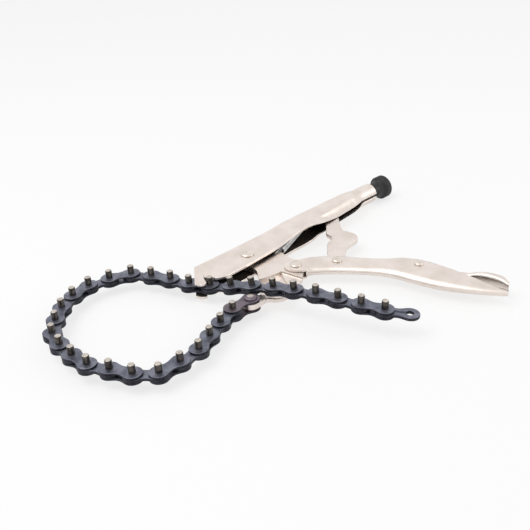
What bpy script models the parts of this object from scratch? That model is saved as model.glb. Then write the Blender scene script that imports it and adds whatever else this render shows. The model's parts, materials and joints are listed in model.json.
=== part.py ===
"""Locking chain clamp, lying on its side: toggle pliers whose jaw carries a length of leaf chain.

The main pivot is the design origin. +X runs back along the fixed body to the adjusting knob,
+Y points to the closed web of the body, +Z is up, along every pivot. Units are metres.
"""
from math import atan2, cos, degrees, hypot, pi, radians, sin

import bmesh
import bpy
import numpy as np
from mathutils import Matrix, Vector
from mathutils.geometry import tessellate_polygon

MM = 0.001

# Running and seating clearances
PIN_GAP = 0.15 * MM
FACE_GAP = 0.3 * MM
TOGGLE_GAP = 0.9 * MM
OVERRUN = 4.0 * MM

# Chain
PITCH = 15.875 * MM
PLATE_RADIUS = 6.4 * MM
PLATE_WAIST = 4.3 * MM
INNER_PLATE = 2.2 * MM
OUTER_PLATE = 1.15 * MM
PLATE_GAP = 0.4 * MM
CHAIN_PIN_RADIUS = 2.3 * MM
PIN_ABOVE = 6.0 * MM
PIN_BELOW = 1.7 * MM
PIN_CHAMFER = 0.5 * MM
PIN_SIDES = 8
PLATE_END_STEPS = 6
PLATE_WRAP_DEG = 112
LINK_COUNT = 31
HOOKED_PIN = 22
# Plan heading of each link of the loop, anchor to hook, before the loop is closed on its hook
LOOP_HEADINGS_DEG = (
    179, 199, 204, 205, 186, 179, 135, 114, 114, 93, 86,
    75, 51, 43, 29, 13, -12, -24, -60, -68, -72, -62,
)
# Plan heading and climb of each link past the hook, where the tail rides up over the jaw
TAIL_HEADINGS_DEG = (-60.8, -64.3, -68.3, -72, -73, -72.5, -71.6, -69, -55)
CLIMB_START = 20
CLIMB_DEG = (-0.4, 2.3, 5.3, 8.2, 7.5, 5.0, 2.5, 0.3, -1.8, -3.0, -4.0)

# Fixed body: a pressed channel, open towards the handle
BODY_SHEET = 1.9 * MM
BODY_HALF_FRONT = 6.1 * MM
BODY_HALF_REAR = 8.0 * MM
BODY_BEND = 3.0 * MM
WEB_HEIGHT = 17.4 * MM
CHEEK_DROP = 12.6 * MM
FRONT_REACH = 36.5 * MM
REAR_REACH = 151.0 * MM
FRONT_SLOPE = 0.8
TUBE_RADIUS = 8.0 * MM
# Stations along the body: place as a share of the rear reach, web height as a share of WEB_HEIGHT,
# cheek edge as a share of CHEEK_DROP, widening from front to rear, closing into the tube, and how far
# the cheek edges curl in towards the toggle link
BODY_STATION_SHARES = (
    (-0.110, 0.98, 1.00, 0.0, 0.0, 0.0),
    (0.000, 0.99, 1.00, 0.0, 0.0, 0.0),
    (0.100, 1.00, 1.00, 0.0, 0.0, 0.0),
    (0.150, 1.01, 0.95, 0.0, 0.0, 0.0),
    (0.205, 1.02, 0.78, 0.0, 0.0, 0.0),
    (0.265, 1.02, 0.66, 0.25, 0.0, 0.0),
    (0.318, 1.02, 0.57, 0.58, 0.0, 0.0),
    (0.358, 1.02, 0.475, 0.88, 0.0, 0.0),
    (0.397, 1.02, 0.405, 0.97, 0.0, 0.05),
    (0.437, 1.02, 0.36, 1.0, 0.0, 0.2),
    (0.477, 1.02, 0.35, 1.0, 0.0, 0.54),
    (0.515, 1.02, 0.375, 1.0, 0.0, 0.7),
    (0.556, 1.02, 0.39, 1.0, 0.0, 0.8),
    (0.636, 1.02, 0.34, 1.0, 0.0, 1.0),
    (0.702, 1.02, 0.26, 1.0, 0.0, 1.0),
    (0.755, 1.02, 0.20, 1.0, 0.0, 1.0),
    (0.810, 1.02, 0.12, 1.0, 0.12, 1.0),
    (0.850, 1.02, 0.06, 1.0, 0.45, 1.0),
    (0.880, 1.01, 0.02, 1.0, 0.9, 1.0),
    (0.905, 1.00, 0.0, 1.0, 1.0, 1.0),
    (1.000, 1.00, 0.0, 1.0, 1.0, 1.0),
)
CURL_DEPTH = 7.5 * MM
CURL_EDGE_SHARE = 0.5
BEND_INSET_SHARE = 0.6
FRONT_STATIONS = 3
CHANNEL_STEPS = 8
TUBE_SLIT_DEG = 8.0

# Hook at the front of both cheeks, which catches a chain pin
SEAT_AHEAD = 43.2 * MM
SEAT_BELOW = 8.3 * MM
HOOK_SIZE = 12.0 * MM
# Outline cut away below the hook, from the front of the tip to the cheek's lower edge, about the pin
HOOK_SHARES = (
    (-1.60, 0.42), (-0.765, 0.375), (-0.725, 0.175), (-0.62, 0.0), (-0.45, -0.075), (-0.31, -0.05),
    (-0.255, 0.06), (-0.19, 0.20), (-0.12, 0.38), (0.0, 0.50), (0.14, 0.53), (0.27, 0.47),
    (0.34, 0.33), (0.36, 0.08), (0.47, -0.09), (0.69, -0.23), (1.02, -0.33), (1.40, -0.37),
    (1.40, -1.40), (-1.60, -1.40),
)

# Pivots
MAIN_PIVOT_RADIUS = 3.4 * MM
MAIN_HEAD_RADIUS = 5.0 * MM
SMALL_PIVOT_RADIUS = 2.5 * MM
HANDLE_HEAD_RADIUS = 4.2 * MM
TOGGLE_HEAD_RADIUS = 3.7 * MM
LEVER_HEAD_RADIUS = 3.3 * MM
ANCHOR_HEAD_RADIUS = 4.4 * MM
HEAD_HEIGHT = 1.7 * MM
# Radius and height of a head's rings, from its crown to its rim
RIVET_DOME_SHARES = ((0.42, 1.0), (0.82, 0.72), (1.0, 0.25), (1.0, 0.0))
HANDLE_PIVOT = Vector((14.8 * MM, -35.0 * MM, 0.0))
ANCHOR_PIVOT = Vector((-38.6 * MM, -44.8 * MM, 0.0))
SCREW_AXIS_HEIGHT = 10.7 * MM
SCREW_SEAT_AHEAD = 102.0 * MM

# Jaw
JAW_HALF = 1.9 * MM
JAW_LUG_RADIUS = 9.0 * MM
JAW_EAR_RADIUS = 7.8 * MM
NOSE_RADIUS = 6.1 * MM
JAW_BOSS_RADIUS = 6.5 * MM
NOSE_BOSS_RADIUS = 4.6 * MM
SPRING_EYE = Vector((19.5 * MM, -9.5 * MM, 0.0))
SPRING_EYE_RADIUS = 1.5 * MM
SPRING_LUG_RADIUS = 4.8 * MM
JAW_LUG_DEG = (20, 200)
NOSE_WRAP_DEG = (215, 400)
JAW_EAR_DEG = (-80, 10)
SPRING_LUG_DEG = (-30, 110)
JAW_FRONT_SHARES = (
    (0.235, 0.06), (0.31, 0.098), (0.42, 0.112), (0.56, 0.115),
    (0.70, 0.121), (0.80, 0.106), (0.873, 0.045),
)
JAW_HEEL_SHARES = (
    (0.11, -0.125), (0.155, -0.128), (0.18, -0.16), (0.215, -0.232), (0.265, -0.287),
    (0.37, -0.313), (0.52, -0.285), (0.67, -0.258), (0.79, -0.236), (0.87, -0.195),
)
JAW_BACK_SHARES = ((0.25, -0.30), (0.40, -0.40))
RELIEF_FLOOR = -1.0 * MM
HEEL_RIM_TOP = 0.6 * MM
HEEL_RIM = 1.8 * MM
RELIEF_INNER_SHARE = 0.532
RELIEF_OUTER_SHARE = 0.90
RELIEF_FROM_DEG = -84.0
RELIEF_TO_DEG = -133.0
NOSE_ROOT_DEG = -121.0
# Corners of the relief between the nose and the heel, for the shelf and for the pocket in it
SHELF_CORNER_SHARES = ((0.20, -0.07), (0.13, -0.13))
POCKET_CORNER_SHARES = ((0.25, -0.05), (0.22, -0.13))

# Moving handle: a pressed channel whose closed back faces away from the body
HANDLE_SHEET = 1.3 * MM
HANDLE_HALF = 3.5 * MM
HANDLE_LENGTH = 147.0 * MM
HANDLE_DEPTH = 29.0 * MM
HANDLE_DIRECTION_DEG = -65.0
HANDLE_EAR_RADIUS = 8.4 * MM
HANDLE_THROAT = 9.5 * MM
HANDLE_ROUND_SHARE = 0.9
EAR_WRAP_DEG = (110, 270)
THROAT_STEP_SHARE = 0.62
EAR_TOP_SHARE = 0.1
# Place along the handle, back and open edge as shares of HANDLE_DEPTH, and width
HANDLE_STATION_SHARES = (
    (-0.060, -0.45, 0.33, 1.0),
    (0.030, -0.45, 0.43, 1.0),
    (0.072, -0.15, 0.53, 1.0),
    (0.110, -0.06, 0.62, 1.0),
    (0.167, 0.05, 0.69, 1.0),
    (0.230, 0.13, 0.73, 1.0),
    (0.300, 0.21, 0.785, 0.98),
    (0.360, 0.26, 0.82, 1.02),
    (0.420, 0.285, 0.88, 1.13),
    (0.480, 0.26, 0.985, 1.20),
    (0.540, 0.18, 1.00, 1.22),
    (0.600, 0.105, 0.955, 1.22),
    (0.660, 0.045, 0.86, 1.22),
    (0.720, 0.015, 0.745, 1.21),
    (0.790, 0.008, 0.60, 1.10),
    (0.850, 0.02, 0.47, 1.0),
    (0.900, 0.04, 0.34, 0.90),
    (0.950, 0.07, 0.25, 0.80),
    (0.985, 0.095, 0.22, 0.70),
    (1.000, 0.12, 0.215, 0.55),
)

# Toggle link, pinned in the handle
TOGGLE_ALONG_SHARE = 0.180
TOGGLE_OUT_SHARE = 0.479
LINK_HALF = 1.9 * MM
LINK_FOOT_RADIUS = 6.2 * MM
LINK_TIP_RADIUS = 4.0 * MM
LINK_FOOT_DEG = (255, 110)
LINK_TIP_DEG = (80, -80)
LINK_INNER_SHARES = (
    (0.12, 0.066), (0.25, 0.068), (0.355, 0.055), (0.41, 0.022),
    (0.47, 0.026), (0.53, 0.060), (0.63, 0.058), (0.80, 0.055),
)
LINK_OUTER_SHARES = (
    (0.86, -0.060), (0.60, -0.076), (0.545, -0.125), (0.50, -0.178), (0.44, -0.200),
    (0.385, -0.186), (0.31, -0.124), (0.25, -0.092), (0.15, -0.078),
)

# Release lever, in the handle's own directions
LEVER_ALONG_SHARE = 0.570
LEVER_OUT_SHARE = 0.779
LEVER_HALF = 1.8 * MM
LEVER_DISH = 1.3 * MM
# Place along the handle, centre and thickness as shares of HANDLE_DEPTH, and width
LEVER_STATION_SHARES = (
    (0.36, 0.50, 0.12, 1.0, 0.0),
    (0.40, 0.55, 0.17, 1.0, 0.0),
    (0.48, 0.66, 0.22, 1.0, 0.0),
    (0.55, 0.76, 0.30, 1.0, 0.0),
    (0.60, 0.76, 0.30, 1.0, 0.0),
    (0.67, 0.66, 0.22, 1.0, 0.0),
    (0.73, 0.69, 0.17, 1.0, 0.0),
    (0.775, 0.755, 0.14, 1.0, 0.0),
    (0.81, 0.76, 0.14, 1.1, 0.1),
    (0.84, 0.75, 0.15, 1.7, 0.6),
    (0.88, 0.71, 0.18, 2.3, 1.0),
    (0.93, 0.65, 0.20, 2.4, 1.0),
    (0.97, 0.57, 0.18, 2.0, 0.7),
    (0.995, 0.49, 0.12, 1.2, 0.2),
)

# Adjusting screw, its bush and its knob
SCREW_RADIUS = 3.6 * MM
BUSH_LENGTH = 15.0 * MM
KNOB_RADIUS = 9.7 * MM
KNOB_LENGTH = 7.5 * MM
KNOB_NECK_RADIUS = 6.4 * MM
KNOB_NECK_LENGTH = 11.5 * MM
KNOB_RIB_DEPTH = 0.5 * MM
KNOB_RIBS = 18
KNOB_DISH = 1.6 * MM
SCREW_CHAMFER_SHARE = 0.25
KNOB_BEVEL_SHARE = 0.14
KNOB_DISH_SHARES = (0.72, 0.66)

# Return spring between the jaw and the body
SPRING_RADIUS = 2.7 * MM
SPRING_WIRE = 0.5 * MM
SPRING_LEAD = 9.0 * MM
SPRING_TURNS = 11
SPRING_STEPS = 7
SPRING_POST = Vector((74.0 * MM, 11.6 * MM, 0.0))
SPRING_POST_RADIUS = 1.5 * MM
SPRING_STRAIGHT_SHARE = 0.85

NICKEL = ((0.80, 0.76, 0.70), 1.0, 0.32)
BLUED = ((0.16, 0.17, 0.22), 0.9, 0.42)
SPRING_STEEL = ((0.62, 0.62, 0.62), 1.0, 0.25)
BLACKENED = ((0.02, 0.02, 0.022), 0.1, 0.6)

# Sizes that follow from those above
INNER_HALF = INNER_PLATE / 2
OUTER_INSIDE = INNER_HALF + PLATE_GAP
STACK_HALF = OUTER_INSIDE + OUTER_PLATE
ANCHOR_INSIDE = max(STACK_HALF, JAW_HALF) + FACE_GAP
SEAT = Vector((-SEAT_AHEAD, -SEAT_BELOW, 0.0))
SCREW_SEAT = Vector((SCREW_SEAT_AHEAD, SCREW_AXIS_HEIGHT, 0.0))
BODY_INSIDE = BODY_HALF_FRONT - BODY_SHEET
BODY_LIP_HALF = LINK_HALF + FACE_GAP * 2
HANDLE_INSIDE = HANDLE_HALF - HANDLE_SHEET
HANDLE_TURN = radians(HANDLE_DIRECTION_DEG)
HANDLE_DIRECTION = Vector((cos(HANDLE_TURN), sin(HANDLE_TURN), 0.0))
HANDLE_SIDE = Vector((-HANDLE_DIRECTION.y, HANDLE_DIRECTION.x, 0.0))
HANDLE_RUN = HANDLE_DIRECTION * HANDLE_LENGTH
HANDLE_RISE = HANDLE_SIDE * HANDLE_DEPTH
TOGGLE_PIVOT = HANDLE_PIVOT + HANDLE_RUN * TOGGLE_ALONG_SHARE + HANDLE_RISE * TOGGLE_OUT_SHARE
LEVER_PIVOT = HANDLE_PIVOT + HANDLE_RUN * LEVER_ALONG_SHARE + HANDLE_RISE * LEVER_OUT_SHARE


def clear_scene():
    """Remove whatever the file holds."""
    for item in list(bpy.data.objects):
        bpy.data.objects.remove(item, do_unlink=True)


def make_material(name, finish):
    """A Principled material from a colour, a metallic value and a roughness."""
    colour, metallic, roughness = finish
    material = bpy.data.materials.new(name)
    material.use_nodes = True
    shader = material.node_tree.nodes["Principled BSDF"]
    shader.inputs["Base Color"].default_value = (*colour, 1.0)
    shader.inputs["Metallic"].default_value = metallic
    shader.inputs["Roughness"].default_value = roughness
    material.diffuse_color = (*colour, 1.0)
    return material


def add_object(name, mesh, finish, origin, parent, smooth_deg=35.0):
    """Place a mesh, drawn in design coordinates, with its origin on its own axis."""
    mesh.transform(Matrix.Translation(-origin))
    mesh.materials.clear()
    mesh.materials.append(make_material(name + "_finish", finish))
    mesh.shade_smooth()
    mesh.set_sharp_from_angle(angle=radians(smooth_deg))
    item = bpy.data.objects.new(name, mesh)
    item.location = origin
    item.parent = parent
    bpy.context.collection.objects.link(item)
    return item


def mesh_from(name, verts, faces):
    """A closed mesh with its faces turned outwards."""
    bm = bmesh.new()
    points = [bm.verts.new(v) for v in verts]
    for face in faces:
        bm.faces.new([points[i] for i in face])
    bmesh.ops.recalc_face_normals(bm, faces=bm.faces)
    mesh = bpy.data.meshes.new(name)
    bm.to_mesh(mesh)
    bm.free()
    return mesh


def circle(centre, radius, sides, start=0.0, turn=2 * pi, closed=True):
    """Points on an arc about a centre; a full circle leaves out its last point."""
    count = sides if closed else sides + 1
    angles = [start + turn * i / sides for i in range(count)]
    return [(centre[0] + radius * cos(a), centre[1] + radius * sin(a)) for a in angles]


def hole_radius(radius, clearance, sides):
    """Corner radius of a many-sided hole whose flats still clear a round pin."""
    return (radius + clearance) / cos(pi / sides)


def prism(name, outline, low, high, holes=()):
    """A plate: an outline with round holes, from one height to another."""
    loops = [list(outline)] + [list(hole) for hole in holes]
    flat = [point for loop in loops for point in loop]
    count = len(flat)
    verts = [(x, y, low) for x, y in flat] + [(x, y, high) for x, y in flat]
    faces = []
    for a, b, c in tessellate_polygon([[Vector((x, y, 0.0)) for x, y in loop] for loop in loops]):
        faces.append((a, b, c))
        faces.append((a + count, c + count, b + count))
    first = 0
    for loop in loops:
        size = len(loop)
        for i in range(size):
            j = (i + 1) % size
            faces.append((first + i, first + j, first + j + count, first + i + count))
        first += size
    return mesh_from(name, verts, faces)


def turned(name, profile, sides, centre=(0.0, 0.0), spin=0.0):
    """A turned piece about a vertical axis, from (radius, height) points, closed at both ends."""
    verts = []
    for radius, height in profile:
        verts += [(x, y, height) for x, y in circle(centre, radius, sides, spin)]
    faces = [tuple(range(sides))]
    for ring in range(len(profile) - 1):
        for i in range(sides):
            j = (i + 1) % sides
            a, b = ring * sides, (ring + 1) * sides
            faces.append((a + i, a + j, b + j, b + i))
    last = (len(profile) - 1) * sides
    faces.append(tuple(range(last, last + sides)))
    return mesh_from(name, verts, faces)


def loft(name, loops, strip_caps):
    """Skin closed loops of equal length. A channel's ends are capped strip by strip."""
    size = len(loops[0])
    verts = [point for loop in loops for point in loop]
    faces = []
    for k in range(len(loops) - 1):
        for i in range(size):
            j = (i + 1) % size
            a, b = k * size, (k + 1) * size
            faces.append((a + i, a + j, b + j, b + i))
    for base in (0, (len(loops) - 1) * size):
        if strip_caps:
            for i in range(size // 2 - 1):
                faces.append((base + i, base + i + 1, base + size - 2 - i, base + size - 1 - i))
        else:
            faces.append(tuple(range(base, base + size)))
    return mesh_from(name, verts, faces)


def cut_with(item, cutter_mesh, parent, operation="DIFFERENCE"):
    """A live Boolean whose cutter is hidden from the result."""
    cutter = bpy.data.objects.new(item.name + "_tool_" + cutter_mesh.name, cutter_mesh)
    cutter.hide_render = True
    cutter.display_type = "WIRE"
    cutter.parent = parent
    bpy.context.collection.objects.link(cutter)
    modifier = item.modifiers.new(cutter_mesh.name, "BOOLEAN")
    modifier.operation = operation
    modifier.solver = "EXACT"
    modifier.object = cutter


def between(start, end, shares):
    """Points given along and to the left of the line from one pivot to another."""
    line = end - start
    left = Vector((-line.y, line.x, 0.0))
    points = [start + line * along + left * side for along, side in shares]
    return [(p.x, p.y) for p in points]


def arc(centre, radius, from_deg, to_deg, steps):
    """An open arc about a pivot, end points included."""
    return circle(centre, radius, steps, radians(from_deg), radians(to_deg - from_deg), closed=False)


def steady(table, place):
    """Read a table of stations at one place, on a smooth curve through its points."""
    places = [row[0] for row in table]
    k = min(max(int(np.searchsorted(places, place)) - 1, 0), len(table) - 2)
    span = places[k + 1] - places[k]
    t = (place - places[k]) / span
    values = []
    for column in range(1, len(table[0])):
        y0, y1 = table[k][column], table[k + 1][column]
        before = table[max(k - 1, 0)]
        after = table[min(k + 2, len(table) - 1)]
        s0 = (y1 - before[column]) / (places[k + 1] - before[0]) * span
        s1 = (after[column] - y0) / (after[0] - places[k]) * span
        if (y1 - y0) * s0 <= 0 or table[k] is before:
            s0 = 0.0
        if (y1 - y0) * s1 <= 0 or table[k + 1] is after:
            s1 = 0.0
        h = (2 * t ** 3 - 3 * t ** 2 + 1, t ** 3 - 2 * t ** 2 + t, 3 * t ** 2 - 2 * t ** 3, t ** 3 - t ** 2)
        values.append(h[0] * y0 + h[1] * s0 + h[2] * y1 + h[3] * s1)
    return values


def channel_path(back, edge, half, bend, curl=0.0, lip=0.0):
    """A U in the cross plane: up one cheek from its edge, round the back, and down the other.

    Points are (depth, height), with depth measured towards the back. Each bend is a quarter circle.
    A curl draws the edges in from the cheek's half height towards the lip's.
    """
    drawn = (half - lip) * curl
    path = [
        (edge, -half + drawn),
        (edge + CURL_DEPTH * CURL_EDGE_SHARE, -half + drawn * CURL_EDGE_SHARE),
        (edge + CURL_DEPTH, -half),
    ]
    for i in range(CHANNEL_STEPS // 2 + 1):
        a = pi / 2 * i / (CHANNEL_STEPS // 2)
        path.append((back - bend + bend * sin(a), -half + bend - bend * cos(a)))
    mirrored = [(depth, -height) for depth, height in reversed(path)]
    return path + mirrored


def body_loop(place_share, shear):
    """One cross-section of the body, as a closed loop of outer then inner points."""
    web_share, drop_share, wide, rolled, curl = steady(BODY_STATION_SHARES, place_share)
    place = place_share * REAR_REACH
    web = WEB_HEIGHT * web_share
    edge = -CHEEK_DROP * drop_share
    half = BODY_HALF_FRONT + (BODY_HALF_REAR - BODY_HALF_FRONT) * wide
    loop = []
    for inset in (0.0, BODY_SHEET):
        bend = BODY_BEND - inset * BEND_INSET_SHARE
        path = channel_path(web - inset, edge + inset * curl, half - inset, bend, curl, BODY_LIP_HALF)
        count = len(path)
        rolled_path = []
        for i in range(count):
            a = radians(180 - TUBE_SLIT_DEG) * (2 * i / (count - 1) - 1)
            depth = SCREW_AXIS_HEIGHT + (TUBE_RADIUS - inset) * cos(a)
            height = (TUBE_RADIUS - inset) * sin(a)
            rolled_path.append((depth, height))
        mixed = [
            (p[0] * (1 - rolled) + r[0] * rolled, p[1] * (1 - rolled) + r[1] * rolled)
            for p, r in zip(path, rolled_path)
        ]
        side = [(place - shear * (web - depth), depth, height) for depth, height in mixed]
        loop += side if inset == 0.0 else list(reversed(side))
    return loop


def make_body(root):
    """The fixed body: sheared hook end, flared mouth, and a rear end rolled into a tube."""
    front_share = -FRONT_REACH / REAR_REACH
    loops = []
    for k in range(FRONT_STATIONS):
        t = k / FRONT_STATIONS
        share = front_share + (BODY_STATION_SHARES[0][0] - front_share) * t
        loops.append(body_loop(share, FRONT_SLOPE * (1 - t)))
    loops += [body_loop(row[0], 0.0) for row in BODY_STATION_SHARES]
    mesh = loft("body_shell", loops, True)
    shell = add_object("body_shell", mesh, NICKEL, Vector((0, 0, 0)), root)
    reach = BODY_HALF_REAR + OVERRUN
    hook = [(SEAT.x + HOOK_SIZE * x, SEAT.y + HOOK_SIZE * y) for x, y in HOOK_SHARES]
    cut_with(shell, prism("hook", hook, -reach, reach), root)
    bore = circle((0, 0), hole_radius(MAIN_PIVOT_RADIUS, PIN_GAP, 16), 16, pi / 16)
    cut_with(shell, prism("pivot_hole", bore, -reach, reach), root)
    post = circle(SPRING_POST, hole_radius(SPRING_POST_RADIUS, PIN_GAP, 12), 12)
    post_reach = BODY_HALF_REAR - BODY_SHEET / 2
    cut_with(shell, prism("post_hole", post, -post_reach, post_reach), root)
    return shell


def rivet(name, centre, radius, head_radius, face, parent, sides=12):
    """A domed rivet through its parts, with a head on each outer face."""
    under = face + PIN_GAP
    dome = [(head_radius * wide, under + HEAD_HEIGHT * high) for wide, high in RIVET_DOME_SHARES]
    shank = [(radius, -under), (radius, under)]
    profile = [(r, -height) for r, height in dome] + shank + list(reversed(dome))
    mesh = turned(name, profile, sides, centre)
    return add_object(name, mesh, NICKEL, Vector((centre[0], centre[1], 0.0)), parent)


def jaw_outline():
    """The jaw's plan: lug at the main pivot, arched front, nose, heel, ear and spring lug."""
    origin = Vector((0.0, 0.0, 0.0))
    nose_deg = degrees(atan2(ANCHOR_PIVOT.y, ANCHOR_PIVOT.x))
    points = arc(origin, JAW_LUG_RADIUS, *JAW_LUG_DEG, 9)
    points += between(origin, ANCHOR_PIVOT, JAW_FRONT_SHARES)
    points += arc(ANCHOR_PIVOT, NOSE_RADIUS, nose_deg + NOSE_WRAP_DEG[0], nose_deg + NOSE_WRAP_DEG[1], 9)
    points += between(ANCHOR_PIVOT, HANDLE_PIVOT, JAW_HEEL_SHARES)
    points += arc(HANDLE_PIVOT, JAW_EAR_RADIUS, *JAW_EAR_DEG, 5)
    points += between(HANDLE_PIVOT, origin, JAW_BACK_SHARES)
    points += arc(SPRING_EYE, SPRING_LUG_RADIUS, *SPRING_LUG_DEG, 5)
    return points


def make_jaw(root):
    """The jaw: a thick plate with bosses, whose lower half alone passes under the chain's tail."""
    sides = 16
    holes = [
        circle(HANDLE_PIVOT, hole_radius(SMALL_PIVOT_RADIUS, PIN_GAP, sides), sides),
        circle(SPRING_EYE, hole_radius(SPRING_EYE_RADIUS, 0.0, 10), 10),
    ]
    mesh = prism("jaw", jaw_outline(), -JAW_HALF, JAW_HALF, holes)
    jaw = add_object("jaw", mesh, NICKEL, Vector((0, 0, 0)), root)
    for name, centre, boss_radius, face, pin in (
        ("pivot", (0.0, 0.0), JAW_BOSS_RADIUS, BODY_INSIDE - FACE_GAP, MAIN_PIVOT_RADIUS),
        ("nose", ANCHOR_PIVOT, NOSE_BOSS_RADIUS, ANCHOR_INSIDE - FACE_GAP, SMALL_PIVOT_RADIUS),
    ):
        boss = circle(centre, boss_radius, sides)
        cut_with(jaw, prism(name + "_boss", boss, -face, face), root, "UNION")
        bore = circle(centre, hole_radius(pin, PIN_GAP, sides), sides)
        cut_with(jaw, prism(name + "_bore", bore, -BODY_HALF_FRONT, BODY_HALF_FRONT), root)
    origin = Vector((0.0, 0.0, 0.0))
    swing = ANCHOR_PIVOT.length
    start = arc(origin, swing * RELIEF_INNER_SHARE, RELIEF_FROM_DEG, RELIEF_TO_DEG, 8)
    end = arc(origin, swing * RELIEF_OUTER_SHARE, RELIEF_TO_DEG, NOSE_ROOT_DEG, 5)
    reach = swing + OVERRUN * 3
    outer_heel = between(ANCHOR_PIVOT, HANDLE_PIVOT, SHELF_CORNER_SHARES)
    shelf_end = arc(origin, reach, NOSE_ROOT_DEG - 5, RELIEF_FROM_DEG + 2, 3)
    shelf = start + end + outer_heel + shelf_end
    cut_with(jaw, prism("relief_shelf", shelf, HEEL_RIM_TOP, JAW_HALF + OVERRUN), root)
    rim = between(ANCHOR_PIVOT, HANDLE_PIVOT, JAW_HEEL_SHARES[3:7])
    centre = np.mean(np.array(rim + end[-1:] + start[:1]), axis=0)
    inset = []
    for x, y in rim:
        away = np.array((x, y)) - centre
        inward = away * (1 - HEEL_RIM / hypot(*away))
        inset.append(tuple(centre + inward))
    pocket = start + end + between(ANCHOR_PIVOT, HANDLE_PIVOT, POCKET_CORNER_SHARES) + inset
    cut_with(jaw, prism("relief_pocket", pocket, RELIEF_FLOOR, JAW_HALF + OVERRUN), root)
    return jaw


def handle_point(along, out, height):
    """A point given along the handle, out from its line, and up."""
    p = HANDLE_PIVOT + HANDLE_DIRECTION * along + HANDLE_SIDE * out
    return (p.x, p.y, height)


def handle_path(back, edge, half, bend):
    """The handle's U: two straight cheeks and a rounded back, as (depth, height) points."""
    path = [(edge, -half), ((edge + back - bend) / 2, -half)]
    for i in range(CHANNEL_STEPS // 2 + 1):
        a = pi / 2 * i / (CHANNEL_STEPS // 2)
        path.append((back - bend + bend * sin(a), -half + bend - bend * cos(a)))
    mirrored = [(depth, -height) for depth, height in reversed(path)]
    return path + mirrored


def make_handle(root):
    """The moving handle: two ears at its pivot, then a channel with a fully rounded back."""
    loops = []
    for row in HANDLE_STATION_SHARES:
        along = row[0] * HANDLE_LENGTH
        back, edge, half = row[1] * HANDLE_DEPTH, row[2] * HANDLE_DEPTH, row[3] * HANDLE_HALF
        loop = []
        for inset in (0.0, HANDLE_SHEET):
            bend = (half - inset) * HANDLE_ROUND_SHARE
            path = handle_path(-back - inset, -edge, half - inset, bend)
            side = [handle_point(along, -depth, height) for depth, height in path]
            loop += side if inset == 0.0 else list(reversed(side))
        loops.append(loop)
    handle = add_object("handle", loft("handle", loops, True), NICKEL, HANDLE_PIVOT.copy(), root)
    reach = HANDLE_HALF + OVERRUN
    ear = arc((0.0, 0.0), HANDLE_EAR_RADIUS, *EAR_WRAP_DEG, 8)
    low = -HANDLE_DEPTH
    throat_step = -HANDLE_EAR_RADIUS * THROAT_STEP_SHARE
    throat = [(HANDLE_THROAT, throat_step), (HANDLE_THROAT, low), (-HANDLE_DEPTH, low)]
    top = [(-HANDLE_DEPTH, HANDLE_DEPTH), (-HANDLE_EAR_RADIUS * EAR_TOP_SHARE, HANDLE_DEPTH)]
    window = [handle_point(u, v, 0.0)[:2] for u, v in ear + throat + top]
    cut_with(handle, prism("ears", window, -reach, reach), root)
    mouth = ((HANDLE_THROAT, low), (HANDLE_THROAT, HANDLE_DEPTH), (low, HANDLE_DEPTH), (low, low))
    gap = [handle_point(u, v, 0.0)[:2] for u, v in mouth]
    cut_with(handle, prism("throat", gap, -HANDLE_INSIDE, HANDLE_INSIDE), root)
    for name, centre, radius in (
        ("ear_hole", HANDLE_PIVOT, SMALL_PIVOT_RADIUS),
        ("toggle_hole", TOGGLE_PIVOT, SMALL_PIVOT_RADIUS),
        ("lever_hole", LEVER_PIVOT, SMALL_PIVOT_RADIUS),
    ):
        bore = circle(centre, hole_radius(radius, PIN_GAP, 16), 16)
        cut_with(handle, prism(name, bore, -reach, reach), root)
    return handle


def make_toggle_link(root):
    """The toggle link: a thick plate with a stop notch, a release bump and a round tip."""
    line_deg = degrees(atan2(SCREW_SEAT.y - TOGGLE_PIVOT.y, SCREW_SEAT.x - TOGGLE_PIVOT.x))
    foot_from, foot_to = LINK_FOOT_DEG
    tip_from, tip_to = LINK_TIP_DEG
    points = arc(TOGGLE_PIVOT, LINK_FOOT_RADIUS, line_deg + foot_from, line_deg + foot_to, 8)
    points += between(TOGGLE_PIVOT, SCREW_SEAT, LINK_INNER_SHARES)
    points += arc(SCREW_SEAT, LINK_TIP_RADIUS, line_deg + tip_from, line_deg + tip_to, 8)
    points += between(TOGGLE_PIVOT, SCREW_SEAT, LINK_OUTER_SHARES)
    hole = circle(TOGGLE_PIVOT, hole_radius(SMALL_PIVOT_RADIUS, PIN_GAP, 16), 16)
    mesh = prism("toggle_link", points, -LINK_HALF, LINK_HALF, [hole])
    return add_object("toggle_link", mesh, NICKEL, TOGGLE_PIVOT.copy(), root)


def make_lever(root):
    """The release lever: a bar inside the handle that widens into a dished thumb paddle."""
    loops = []
    across = 6
    for place, centre, thick, wide, dished in LEVER_STATION_SHARES:
        along, mid, half_t = place * HANDLE_LENGTH, centre * HANDLE_DEPTH, thick * HANDLE_DEPTH / 2
        half = LEVER_HALF * wide
        loop = []
        for i in range(across + 1):
            s = -1 + 2 * i / across
            dish = LEVER_DISH * dished * (1 - s * s)
            loop.append(handle_point(along, mid + half_t - dish, half * s))
        for i in range(across + 1):
            s = 1 - 2 * i / across
            loop.append(handle_point(along, mid - half_t, half * s))
        loops.append(loop)
    mesh = loft("release_lever", loops, False)
    lever = add_object("release_lever", mesh, NICKEL, LEVER_PIVOT.copy(), root)
    bore = circle(LEVER_PIVOT, hole_radius(SMALL_PIVOT_RADIUS, PIN_GAP, 16), 16)
    reach = HANDLE_HALF + OVERRUN
    cut_with(lever, prism("lever_bore", bore, -reach, reach), root)
    return lever


def along_screw(mesh):
    """Lay a piece turned about Z along the screw's axis."""
    mesh.transform(Matrix.Rotation(pi / 2, 4, "Y"))
    mesh.transform(Matrix.Translation(Vector((0.0, SCREW_AXIS_HEIGHT, 0.0))))
    return mesh


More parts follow.
